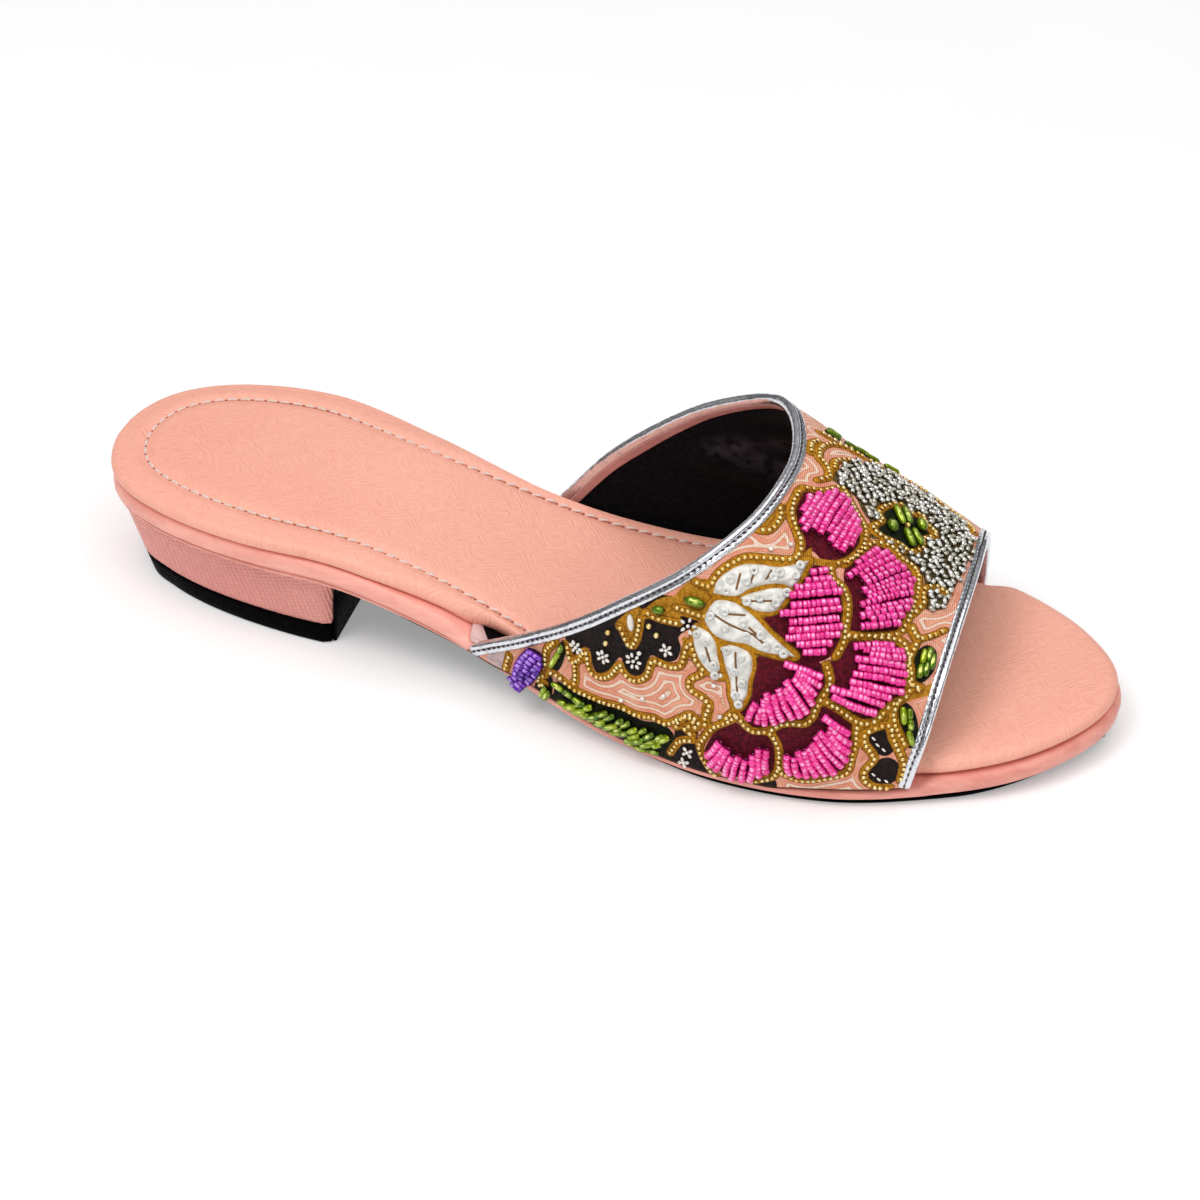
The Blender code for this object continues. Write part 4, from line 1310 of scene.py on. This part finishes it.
# Plain lines and leaves of the medial side, their girths counted from the medial foot
MEDIAL_LINES = (
    ((112, 5), (118, 10), (126, 9), (135, 8.4), (146, 9.4), (158, 10.6), (170, 9.6), (184, 10.4), (198, 9),
     (209, 6)),
    ((128, 16), (136, 18), (146, 24), (156, 30), (166, 32), (176, 27), (186, 30), (196, 27), (207, 22)),
    ((160, 16), (168, 20), (178, 19), (188, 17.4), (198, 19), (206, 16)),
)
MEDIAL_LEAVES = (
    ((120, 3), (127, 6.4), (136, 6.2), (144, 3), (136, 0), (126, 0)),
    ((150, 3.4), (158, 7.4), (168, 6.6), (176, 3), (168, 0), (157, 0)),
    ((182, 3.4), (190, 7), (199, 6), (206, 3), (199, 0), (189, 0)),
)
LINES = [spline(line) for line in GOLD_LINES]
LINES += [spline(from_medial(line)) for line in MEDIAL_LINES]
LINES.append(spline(MOTIF_RING, closed=True))
MEDIAL_OUTLINES = [spline(from_medial(leaf), closed=True) for leaf in MEDIAL_LEAVES]
LEAF_OUTLINES = [spline(np.concatenate((one, other[-2:0:-1])), closed=True)
                 for one, other in WHITE_LEAVES.values()]
GROUND_TABLES = {
    "cell": CELLS,
    "dark": DARK_GROUNDS,
    "leafy": LEAFY_GROUNDS + (MOTIF_GROUND,),
    "purple": PURPLE_GROUNDS,
    "tab": PALE_GROUNDS,
    "fill": OCHRE_FILLS,
    "field": (SILVER_GROUND,),
}
GROUNDS = {name: [spline(row, closed=True) for row in table] for name, table in GROUND_TABLES.items()}
GROUNDS["leafy"] += MEDIAL_OUTLINES


# Upper

BAND_LAP = 0.012
CLOTH_LIFT = 0.15
CLOTH_BACK = 1.1
PUCKER = 0.06
COUCHED = 0.18
NO_MARK = 9.0
UPPER_ROWS = 150
UPPER_COLUMNS = 226


def upper_chart(rows, columns, inset=0.0, lap=0.0):
    """Stations and girths of a grid over the upper.

    It may stop short of the free edges by an inset, and lap over the band by a share of the girth.
    """
    share = np.linspace(-lap, 1 + lap, columns)
    collar = edge_station(COLLAR_EDGE, share) + inset
    toe = edge_station(TOE_EDGE, share) - inset
    station = collar + (toe - collar) * np.linspace(0, 1, rows)[:, None]
    return station, share * whole_girth(station)


# Lower edge of the cloth along the band: station, girth
CLOTH_FOOT = np.array([
    (100, -2.3), (112, -2.2), (118, -1.0), (128, -0.5), (140, -0.5), (150, -0.7), (158, -1.0), (165, -1.1),
    (170, -1.0), (176, -0.9), (183, -1.0), (188, -0.2), (195, 0.4), (205, 0.6), (217, 0.5),
])
FOOT_REACH = 5.0


def drawn_to_foot(station, girth):
    """Girths near a foot of the upper drawn up or down, so that the cloth ends at its lower edge."""
    foot = smooth(station, CLOTH_FOOT[:, 0], CLOTH_FOOT[:, 1])
    lowest = -BAND_LAP * whole_girth(station)
    share = (girth - lowest) / (FOOT_REACH - lowest)
    return np.where(share < 1, foot + (FOOT_REACH - foot) * share, girth), foot


def print_values(places, foot_shade):
    """Chart distances at each place of the cloth, for the print and the painted shade at its lower edges to
    read.
    """
    line = np.minimum(distance_to(places, LINES), distance_to(places, LEAF_OUTLINES))
    values = {"line": line, "echo": line, "foot_shade": foot_shade}
    for ground, outlines in GROUNDS.items():
        values[ground] = signed_distance(places, outlines)
        values["echo"] = np.minimum(values["echo"], values[ground])
    values["leafy"] = np.maximum(values["leafy"], -values["purple"])
    return values


def build_cloth():
    """Printed cloth, softly puckered and raised under the bead lines."""
    station, girth = upper_chart(UPPER_ROWS, UPPER_COLUMNS, lap=BAND_LAP)
    girth, foot = drawn_to_foot(station, girth)
    from_far = drawn_to_foot(station, whole_girth(station) - girth)[0]
    girth = whole_girth(station) - from_far
    # distance from the lower edges, for the painted shade there
    foot_shade = np.minimum(girth, from_far) - foot
    values = print_values(np.column_stack((station.ravel(), girth.ravel())), foot_shade.ravel())
    pucker = PUCKER * np.sin(station / 2.3 + np.sin(girth / 3.1)) * np.sin(girth / 2.7)
    couched = COUCHED * ease((1.1 - values["line"].reshape(station.shape)) / 0.8)
    outer = on_upper(station, girth, CLOTH_LIFT + pucker + couched)
    form = shell(outer, on_upper(station, girth, -CLOTH_BACK))
    cloth = add_piece("upper_cloth", form, "cloth")
    for name, numbers in values.items():
        set_values(cloth, name, np.concatenate((numbers, np.full(station.size, NO_MARK))))
    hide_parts("upper")


LINING_FRONT = 1.15
LINING_BACK = WALL + 0.2
LINING_INSET = 1.2
LINING_ROWS = 70
LINING_COLUMNS = 120
LINING_PUFF = 0.25

# Creases of the lining: share of the girth at a station, that station, drift of the share per mm,
# width and depth, then the painted highlight on the fold beside it: distance, width and strength
LINING_CREASES = (
    (0.86, 160, 0.0012, 0.02, 1.5, -0.03, 0.016, 1.0),
    (0.74, 170, -0.0016, 0.016, 0.9, 0.026, 0.014, 0.7),
)

# Ends of the dark strip and binding at the lateral end of the collar, and the facing inside it
TAIL_START = 106.0
TAIL_END = 124.0
TAIL_ROOM = 1.6
TAIL_WIDTH = 8.0
TAIL_LIFT = 0.75
TAIL_THICKNESS = 0.4
TAB_BACK = 104.9
TAB_FRONT = 111.2
TAB_WIDTH = 7.0
TAB_LIFT = 0.95
TAB_THICKNESS = 0.6
FACING_START = 1.0
FACING_WIDTH = 1.5
FACING_THICKNESS = 0.6


def build_lining():
    """Black velvet lining, thinned at the free edges, with two soft creases on the medial side, each with a
    painted highlight beside it.
    """
    station, girth = upper_chart(LINING_ROWS, LINING_COLUMNS, inset=LINING_INSET)
    share = girth / whole_girth(station)
    from_collar = station - station[0]
    fade = ease((from_collar - 7) / 10) * ease((205 - station) / 20)
    crease = np.zeros_like(station)
    fold = np.zeros_like(station)
    for place, at, drift, width, depth, fold_place, fold_width, fold_highlight in LINING_CREASES:
        off = share - place - drift * (station - at)
        crease += depth * fade * np.exp(-(off / width) ** 2)
        # strength of the painted highlight beside each crease
        fold += fold_highlight * fade * np.exp(-((off - fold_place) / fold_width) ** 2)
    puff = LINING_PUFF * np.sin(station / 7 + 2 * np.sin(girth / 9))
    puff = puff * ease(share / 0.08) * ease((1 - share) / 0.08) * ease((from_collar - 7) / 6)
    from_edge = np.minimum(from_collar, station[-1] - station)
    wall = EDGE_WALL + (LINING_BACK - EDGE_WALL) * ease(from_edge / 6)
    inner = on_upper(station, girth, -wall - crease - np.maximum(puff, 0))
    form = shell(on_upper(station, girth, -LINING_FRONT), inner)
    lining = add_piece("upper_lining", form, "velvet")
    set_values(lining, "fold", np.tile(fold.ravel(), 2))


def build_dark_gap_strip():
    """Black velvet strip lying on the board under the lateral end of the collar, so that the gap there shows
    dark.
    """
    x = np.linspace(TAIL_START, TAIL_END, 24)[:, None]
    y = TAIL_ROOM + np.linspace(0, TAIL_WIDTH, 8) - half_widths(x)[0]
    plate = np.stack(np.broadcast_arrays(x, y, board_over(x) + GAP + TAIL_LIFT), axis=-1)
    add_piece("dark_gap_strip", shell(plate, plate - (0, 0, TAIL_THICKNESS)), "velvet")


def build_binding_tab():
    """Pale end of the collar's binding, turned in over the board and curled at its edge."""
    room = np.linspace(0, TAB_WIDTH, 22)
    back = TAB_BACK - 0.22 * room + 0.5 * ease((1.6 - room) / 1.6)
    front = TAB_FRONT - 0.82 * room
    run = np.linspace(0, 1, 14)[:, None]
    x = back + (front - back) * run
    curl = 0.5 * np.exp(-(room / 1.1) ** 2) + 0.25 * np.sin(math.pi * run)
    tab = np.stack((x, room + 0.1 - half_widths(x)[0], board_over(x) + GAP + TAB_LIFT + curl), axis=-1)
    add_piece("binding_tab", shell(tab, tab - (0, 0, TAB_THICKNESS)), "tab")


def build_collar_facing():
    """Narrow pink facing inside the collar, beside the binding."""
    share = np.linspace(0.004, 0.996, 200)
    collar = edge_station(COLLAR_EDGE, share)
    slope = np.gradient(collar, share * whole_girth(collar))
    width = FACING_START + FACING_WIDTH * np.linspace(0, 1, 8)[:, None]
    station = collar + width * np.minimum(np.hypot(1, slope), 1.7)
    girth = share * whole_girth(station)
    back = on_upper(station, girth, -EDGE_WALL - FACING_THICKNESS)
    form = shell(on_upper(station, girth, -EDGE_WALL), back)
    add_piece("collar_facing", form, "facing")


# Section of a binding: distance into the upper from its edge, lift off the upper
BINDING_SECTION = np.array((
    (2.3, 0.06), (2.26, 0.36), (1.95, 0.52), (1.5, 0.52), (1.1, 0.40), (0.86, 0.22), (0.68, 0.36),
    (0.35, 0.66), (-0.05, 0.70), (-0.45, 0.50), (-0.75, 0.14), (-0.88, -0.35), (-0.88, -0.85),
    (-0.7, -1.3), (-0.3, -1.62), (0.25, -1.75), (1.0, -1.74), (1.7, -1.72), (1.85, -1.62), (1.75, -1.46),
    (0.3, -1.42), (0.02, -1.2), (0.02, -0.2), (0.3, 0.04), (1.3, 0.05),
))
BINDING_STITCH_PITCH = 1.55
BINDING_STITCH_SIZE = (1.15, 0.5, 0.36)
BINDING_RINGS = 420
BINDING_END = 0.997
END_SIZES = (0.35, 0.7, 0.9)


def edge_frames(table, inward, share):
    """Edge points of the upper, the normals out of it, and the ways along the edge and into the upper."""
    station = edge_station(table, share)
    girth = share * whole_girth(station)
    point = on_upper(station, girth)
    normal = upper_normal(station, girth)
    tangent = unit(np.gradient(point, axis=0))
    into = unit(np.cross(tangent, normal))
    ahead = on_upper(station + inward, girth) - point
    into = into * np.sign(np.sum(into * ahead, axis=1, keepdims=True))
    return point, normal, tangent, into


def build_binding(name, table, inward, node, start):
    """Silver strip folded round a free edge, with a stitched flange on the outside."""
    frames = edge_frames(table, inward, np.linspace(start, BINDING_END, BINDING_RINGS))
    point, normal, tangent, into = frames
    far = lengths_along(point)
    depth, lift = BINDING_SECTION.T
    swell = 0.06 * np.cos(2 * math.pi * far / BINDING_STITCH_PITCH)[:, None]
    puff = swell * np.exp(-((depth - 1.5) / 0.5) ** 2)
    dent = 0.05 * np.sin(far / 1.9 + np.sin(far / 5.3))[:, None]
    lifts = lift + np.where(lift > 0.2, puff + dent, 0)
    rings = point[:, None] + into[:, None] * depth[None, :, None] + normal[:, None] * lifts[..., None]
    for k, size in enumerate(END_SIZES):
        for end in (k, len(rings) - 1 - k):
            middle = rings[end].mean(axis=0)
            rings[end] = middle + (rings[end] - middle) * size
    strip = add_piece(name + "_strip", tube(rings), "silver")
    set_values(strip, "across", np.tile(np.where(lift > 0, depth, NO_MARK), len(rings)))
    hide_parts(node)
    build_binding_stitches(name, far, frames)


def build_binding_stitches(name, far, frames):
    """Dark slanted stitches in the groove of a binding."""
    at = np.arange(1.2, far[-1] - 1.2, BINDING_STITCH_PITCH)
    spot, up, run, into = [points_at(at, far, layer) for layer in frames]
    up, run, into = unit(up), unit(run), unit(into)
    centres = spot + into * 1.05 + up * 0.36
    sizes = np.tile(BINDING_STITCH_SIZE, (len(at), 1))
    form = scattered(ROUND_DOT, centres, run + 0.4 * into, up, sizes)
    add_piece(name + "_stitches", form, "dark thread")


# Beadwork

GOLD_PITCH = 1.3
PINK_PITCH = 1.08
PINK_SPACING = 2.05
ROPE_PITCH = 2.9
ROPE_LENGTH = 3.3
ROPE_WIDTH = 1.6
PURPLE_PITCH = 1.8
PURPLE_LENGTH = 1.95
PURPLE_WIDTH = 1.3
SILVER_PITCH = 1.56
SILVER_ROW = 1.36
SILVER_WANDER = 0.24
ROOM_ROUND_MOTIF = 0.8
ROOM_ROUND_GOLD = 0.75

# Strands of green and purple beads, read from the photo: station, girth
ROPE_STRANDS = (
    ((127.8, 5.6), (132, 5.4), (136.4, 4.6)), ((147, 0.5), (151.4, 0.5), (156, 1)),
    ((153, 2.6), (156, 5), (158, 7)),
)
SPRAY_STRANDS = (
    ((210.2, 34.6), (210.4, 27.6)), ((211.3, 35), (211.6, 28)), ((212.3, 33.4), (212.4, 29.4)),
    ((208.6, 21.6), (209.6, 17.6)), ((210, 21), (211.2, 16)), ((210.6, 16), (212, 12.4)),
    ((127.4, 10), (129, 14)), ((128.6, 13), (130.4, 18)), ((124.6, -1), (126, 3)),
    ((125.6, -1), (127, 2.4)),
)
RIDGE_STRANDS = (
    ((174.8, 102.4), (178.4, 100.8)), ((174.6, 100.6), (179, 99.4), (184, 98.4), (192, 97.6)),
    ((181, 99.8), (185, 99)),
)
MOTIF_ARMS = (
    ((194.9, 76.4), (197.5, 71.5)), ((196.5, 77), (198.7, 72.2)), ((198.6, 69.2), (201, 64.6)),
    ((200, 69.8), (202.4, 65.6)),
)
PURPLE_STRANDS = (((117, -0.2), (120.8, -0.5)), ((116, -1.5), (120.2, -1.8)), ((116.6, -2.8), (119.4, -3)))

# Single beads: station, girth, run of station, run of girth, lift, length, width
GREEN_OVALS = (
    (153.4, 38.1, 1, 0.25, 1.0, 3.2, 2.1), (161.4, 42.2, 1, -0.05, 1.1, 5.2, 2.4),
    (201, 72.4, 0.5, -1, 1.2, 3.6, 2.6), (195.8, 69.4, 0.5, -1, 1.2, 3.6, 2.6),
)
GOLD_SPANGLES = (
    (141.6, 27.6, 1, 0, 0.6, 1.2, 1.4), (141.2, 24.6, 1, 0, 0.6, 1.2, 1.4),
    (198.4, 70.5, 1, 0, 1.5, 1.1, 1.3), (151.5, 33.4, 1, 0, 0.6, 1.2, 1.5),
    (153.5, 31.8, 1, 0, 0.6, 1.2, 1.5), (211, 25, 1, 0.2, 0.6, 1.0, 1.2),
)
WHITE_DROP = (147, 32.6, -0.2, 1, 0.7, 4.2, 1.7)

# White flowers: station, girth, petals, reach. White dots and dashes: station, girth
WHITE_FLOWERS = (
    (133.6, 19.2, 6, 1.15), (140.6, 20.6, 6, 1.2), (148.3, 23.2, 7, 1.5), (156.1, 28.9, 5, 1.1),
    (160.6, 36.2, 5, 1.5), (162.7, 3.6, 4, 1.0), (161.8, 0.3, 4, 0.9),
)
WHITE_DOTS = (
    (168, 23.6), (170, 16.1), (169.2, 26.4), (156.2, 17), (151, 14.2), (145.6, 11.2), (178.4, 58.2),
    (174.8, 56.4), (149.6, 25.8),
)
DROP_DASHES = ((203.9, 14.6), (204.9, 13), (206.3, 11.7), (204.8, 5.4), (206, 4), (207.6, 3.4))


def build_gold_beads():
    rows = [strung(line, GOLD_PITCH, lift=0.56, length=1.06, width=1.04, wander=0.06) for line in LINES]
    add_beads("gold_beads", SEED_BEAD, np.concatenate(rows), "gold")


def build_petals():
    """Fans of pink strands, raised in their middle, ragged at their inner ends."""
    for number, (outer, inner) in enumerate(FANS, 1):
        count = int(round(lengths_along(np.array(outer))[-1] / PINK_SPACING))
        outer_line = spline(outer, step=0.2)
        inner_line = spline(inner, step=0.2)
        rows = []
        for k in range(count):
            share = (k + 0.5 + random.uniform(-0.12, 0.12)) / count
            end = outer_line[int(share * (len(outer_line) - 1))]
            start = inner_line[int(share * (len(inner_line) - 1))]
            start = start + (start - end) * random.uniform(-0.16, 0.12)
            end = end + (end - start) * random.uniform(-0.08, 0.02)
            middle = (start + end) / 2 + random.normal(0, 0.22, 2)
            pitch = PINK_PITCH * random.uniform(0.8, 1.25)
            lift = 0.8 + random.uniform(0, 0.5)
            width = random.uniform(1.72, 1.95)
            rows.append(strung((start, middle, end), pitch, lift, 1.16 * pitch, width,
                               crown=0.45, wander=0.04, vary=0.35))
        name = f"petal_{number}"
        petal = add_beads(name + "_beads", BARREL_BEAD, np.concatenate(rows), "pink")
        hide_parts(name)


def build_white_leaves():
    """Raised leaves with a rounded rim and grooved veins, and sequins in two rows on each."""
    veins = [spline(vein) for vein in LEAF_VEINS]
    run = cosine_shares(110)
    across = cosine_shares(46)
    sequins = []
    for name, (one, other) in WHITE_LEAVES.items():
        first = spline(one, step=0.05)
        second = spline(other, step=0.05)
        left = first[(run * (len(first) - 1)).astype(int)]
        right = second[(run * (len(second) - 1)).astype(int)]
        grid = left[:, None] + (right - left)[:, None] * across[:, None]
        places = grid.reshape(-1, 2)
        rim = distance_to(places, [np.concatenate((first, second[::-1]))])
        groove = distance_to(places, veins)
        dome = 1.0 * (1 - np.exp(-rim / 0.55)) + 0.28 * (1 - np.exp(-rim / 1.8))
        quilt = np.sin(places[:, 0] * 2.6 + np.sin(places[:, 1] * 1.3)) * np.sin(places[:, 1] * 2.3 + 0.4)
        lift = 0.25 + dome + 0.13 * quilt * ease(rim / 0.8) - 0.34 * np.exp(-(groove / 0.3) ** 2)
        top = on_upper(places[:, 0], places[:, 1], lift).reshape(*grid.shape[:2], 3)
        base = on_upper(places[:, 0], places[:, 1], 0.05).reshape(top.shape)
        leaf = add_piece(name + "_enamel", shell(top, base), "enamel")
        set_values(leaf, "vein", np.concatenate((groove, np.full(len(places), NO_MARK))))
        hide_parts(name)
        for k, share in enumerate(np.linspace(0.26, 0.78, SEQUINS[name])):
            row = int(share * (len(run) - 1))
            spot = left[row] + (right[row] - left[row]) * (0.32 if k % 2 else 0.66)
            sequins.append((*spot, 1, 0.2 * k, 1.42, 2.1, 2.1))
    add_beads("leaf_sequins", SEQUIN, sequins, "sequin")


def slanted_bugles(outline, angle, across, along, length, width):
    """Rows for bugle beads laid side by side at a slant within an outline."""
    low = outline.min(axis=0)
    high = outline.max(axis=0)
    run = np.array((math.cos(math.radians(angle)), math.sin(math.radians(angle))))
    side = np.array((-run[1], run[0]))
    middle = (low + high) / 2
    reach = np.linalg.norm(high - low) / 2
    rows = []
    for k, offset in enumerate(np.arange(-reach, reach, across)):
        for place in np.arange(-reach + along * 0.5 * (k % 2), reach, along):
            spot = middle + side * offset + run * place + random.normal(0, 0.08, 2)
            if inside(spot[None], outline)[0] and distance_to(spot[None], [outline])[0] > 0.35 * width:
                turn = run + random.normal(0, 0.08, 2)
                rows.append((*spot, *turn, 0.62 + random.uniform(0, 0.3), length, width))
    return rows


def build_green_leaf():
    """Rope of slanted green strands along the lateral foot, with a few strands round it."""
    rows = []
    for k, station in enumerate(np.arange(129.4, 151.5, 2.0)):
        foot = np.array((station, 1.5 + random.normal(0, 0.2)))
        tip = foot + (7.4 + random.normal(0, 0.3), 4.4 + 0.1 * k + random.normal(0, 0.3))
        middle = (foot + tip) / 2 + (0.7, -0.7)
        lift = 0.9 + 0.35 * (k % 2)
        rows.append(strung((foot, middle, tip), ROPE_PITCH, lift, ROPE_LENGTH, ROPE_WIDTH,
                           crown=0.6, wander=0.05, vary=0.2))
    for strand in ROPE_STRANDS:
        rows.append(strung(strand, ROPE_PITCH, 1.0, ROPE_LENGTH, ROPE_WIDTH,
                           crown=0.3, wander=0.05, vary=0.2))
    leaf = add_beads("green_leaf_beads", OVAL_BEAD, np.concatenate(rows), "green")
    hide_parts("green_leaf")


def build_green_sprays():
    """Small sprays by the toe strip and the purple flower, strands on the ridge, and the motif's arms."""
    rows = [strung(strand, 3.2, lift=0.9, length=3.3, width=1.6, crown=0.1, wander=0.04)
            for strand in SPRAY_STRANDS]
    rows.extend(strung(strand, 4.4, lift=0.55, length=4.6, width=1.3, crown=0.1, wander=0.04)
                for strand in RIDGE_STRANDS)
    rows.extend(strung(arm, 5.4, lift=1.1, length=5.4, width=1.75) for arm in MOTIF_ARMS)
    add_beads("green_sprays", OVAL_BEAD, np.concatenate(rows), "green")
    add_beads("green_ovals", ROUND_DOT, GREEN_OVALS, "green")


def build_medial_leaves():
    rows = []
    for outline in MEDIAL_OUTLINES:
        rows.extend(slanted_bugles(outline, angle=-26, across=1.75, along=3.3, length=3.2, width=1.45))
    add_beads("medial_leaf_beads", BUGLE_BEAD, rows, "green")


def build_purple_beads():
    """Curved rows of purple beads in two lobes, the lower one hanging over the band."""
    rows = []
    for share in np.linspace(0, 1, 7):
        start = np.array((117.4 + 3.8 * share ** 1.6, 1.2 + 9.0 * share))
        end = np.array((122.2 + 3.2 * math.sin(1.7 * share), 1.2 + 9.4 * share))
        middle = (start + end) / 2 + (0.0, 0.5)
        rows.append(strung((start, middle, end), PURPLE_PITCH, 1.0, PURPLE_LENGTH, PURPLE_WIDTH,
                           crown=0.8, wander=0.04, vary=0.3))
    for strand in PURPLE_STRANDS:
        rows.append(strung(strand, PURPLE_PITCH, 0.9, PURPLE_LENGTH, PURPLE_WIDTH,
                           crown=0.5, wander=0.06, vary=0.3))
    piece = add_beads("purple_flower_beads", BARREL_BEAD, np.concatenate(rows), "purple")
    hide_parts("purple_flower")


def build_silver_beads():
    """Field of short silver-lined beads, packed at all angles round the green motif."""
    outline = GROUNDS["field"][0]
    motif = spline(MOTIF_RING, closed=True)
    low = outline.min(axis=0)
    high = outline.max(axis=0)
    spots = []
    for k, girth in enumerate(np.arange(low[1], high[1], SILVER_ROW)):
        for station in np.arange(low[0] + SILVER_PITCH / 2 * (k % 2), high[0], SILVER_PITCH):
            spots.append((station, girth))
    spots = np.array(spots) + random.normal(0, SILVER_WANDER, (len(spots), 2))
    keep = inside(spots, outline) & ~inside(spots, motif)
    keep &= (distance_to(spots, [motif]) > ROOM_ROUND_MOTIF) & (distance_to(spots, LINES) > ROOM_ROUND_GOLD)
    spots = spots[keep]
    angle = random.uniform(0, 2 * math.pi, len(spots))
    lift = random.uniform(0.55, 1.0, len(spots))
    length = random.uniform(1.5, 2.6, len(spots))
    width = random.uniform(1.05, 1.4, len(spots))
    rows = np.column_stack((spots, np.cos(angle), np.sin(angle), lift, length, width))
    field = add_beads("silver_field_beads", SEED_BEAD, rows, "grey")
    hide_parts("silver_bead_field")


def flower(station, girth, petals, reach, turn):
    """Rows for a small flower of white beads."""
    rows = [(station, girth, 1, 0, 0.6, 0.9, 0.9)]
    for k in range(petals):
        angle = turn + 2 * math.pi * k / petals
        run = (math.cos(angle), math.sin(angle))
        rows.append((station + reach * run[0], girth + reach * run[1], *run, 0.55, 1.25, 0.85))
    return rows


def build_white_beads():
    """Small white flowers and single beads on the dark grounds, and the dashes of the black drops."""
    rows = []
    for station, girth, petals, reach in WHITE_FLOWERS:
        rows.extend(flower(station, girth, petals, reach, 0.4 * station))
    rows.extend((*place, 1, 0.3, 0.55, 1.2, 1.1) for place in WHITE_DOTS)
    rows.append(WHITE_DROP)
    rows.extend((*place, 0.7, -0.7, 0.5, 1.3, 0.55) for place in DROP_DASHES)
    add_beads("white_beads", ROUND_DOT, rows, "white")


def build_gold_spangles():
    add_beads("gold_spangles", SEED_BEAD, GOLD_SPANGLES, "gold")


# Stage

CAMERA_PLACE = (196.1, -564.6, 477.5)
CAMERA_AIM = (3.0, -6.0, 17.0)
FOCAL_LENGTH = 95.0
SENSOR_WIDTH = 36.0
FLOOR_REACH = 3000.0

# Lights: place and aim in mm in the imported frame, size in metres, power in watts
LIGHTS = {
    "key": ((-330, -460, 1030), (0, 0, 20), (0.5, 0.5), 4.5),
    "toe": ((620, -300, 1000), (60, 0, 20), (0.8, 0.8), 2.8),
    "top": ((250, 520, 1250), (0, 0, 20), (0.9, 0.3), 1.0),
    "front": ((350, -1200, 600), (20, 0, 20), (0.9, 0.5), 2.2),
}

# Brightness of the sky in two steps: height from and to, strength from and to
SKY_STEPS = ((0.12, 0.5, 0.05, 0.30), (0.72, 0.92, 0.0, 0.85))


def place_aimed(name, data, place, aim):
    """Light or camera put at a place and turned to an aim."""
    thing = bpy.data.objects.new(name, data)
    bpy.context.scene.collection.objects.link(thing)
    thing.location = Vector(place) * MM
    thing.rotation_euler = (Vector(aim) - Vector(place)).to_track_quat("-Z", "Y").to_euler()
    return thing


def build_lights():
    for name, (place, aim, size, power) in LIGHTS.items():
        data = bpy.data.lights.new(name, "AREA")
        data.shape = "RECTANGLE"
        data.size, data.size_y = size
        data.energy = power
        place_aimed(name, data, place, aim)


def build_camera():
    data = bpy.data.cameras.new("camera")
    data.lens = FOCAL_LENGTH
    data.sensor_width = SENSOR_WIDTH
    bpy.context.scene.camera = place_aimed("camera", data, CAMERA_PLACE, CAMERA_AIM)
    bpy.context.scene.view_settings.view_transform = "Standard"


def build_world():
    """White studio, dim near the horizon and bright overhead, for metal and glass to mirror."""
    world = bpy.data.worlds.new("studio")
    world.use_nodes = True
    tree = world.node_tree
    way = tree.nodes.new("ShaderNodeTexCoord").outputs["Generated"]
    split = tree.nodes.new("ShaderNodeSeparateXYZ")
    tree.links.new(way, split.inputs[0])
    total = tree.nodes.new("ShaderNodeMath")
    for number, limits in enumerate(SKY_STEPS):
        level = tree.nodes.new("ShaderNodeMapRange")
        level.interpolation_type = "SMOOTHSTEP"
        tree.links.new(split.outputs["Z"], level.inputs["Value"])
        for socket, value in zip(("From Min", "From Max", "To Min", "To Max"), limits):
            level.inputs[socket].default_value = value
        tree.links.new(level.outputs["Result"], total.inputs[number])
    tree.links.new(total.outputs[0], tree.nodes["Background"].inputs["Strength"])
    tree.nodes["Background"].inputs["Color"].default_value = (1, 1, 1, 1)
    bpy.context.scene.world = world


def build_floor():
    """White floor that glows a little, so that it meets the white background."""
    mesh = bpy.data.meshes.new("floor")
    reach = FLOOR_REACH * MM
    corners = [(-reach, -reach, 0), (reach, -reach, 0), (reach, reach, 0), (-reach, reach, 0)]
    mesh.from_pydata(corners, [], [(0, 1, 2, 3)])
    graph = Graph("pale_floor", Roughness=0.7, Specular_IOR_Level=0.2, Emission_Strength=0.26)
    graph.set("Base Color", graph.mix(graph.noise(60.0), srgb(228, 228, 228), srgb(232, 232, 232)))
    graph.set("Emission Color", (1.0, 1.0, 1.0, 1.0))
    mesh.materials.append(graph.material)
    floor = bpy.data.objects.new("floor", mesh)
    bpy.context.scene.collection.objects.link(floor)


def main():
    build_floor()
    build_world()
    build_lights()
    build_camera()
    build_insole()
    build_insole_stitches()
    build_sole_band()
    build_heel_wrap()
    build_heel_tip()
    build_outsole()
    build_cloth()
    build_lining()
    build_dark_gap_strip()
    build_binding_tab()
    build_collar_facing()
    build_binding("collar", COLLAR_EDGE, 1, "collar_binding", -0.75 * BAND_LAP)
    build_binding("toe", TOE_EDGE, -1, "toe_binding", 0.003)
    build_gold_beads()
    build_petals()
    build_white_leaves()
    build_green_leaf()
    build_green_sprays()
    build_medial_leaves()
    build_purple_beads()
    build_silver_beads()
    build_white_beads()
    build_gold_spangles()


main()
bpy.context.view_layer.update()
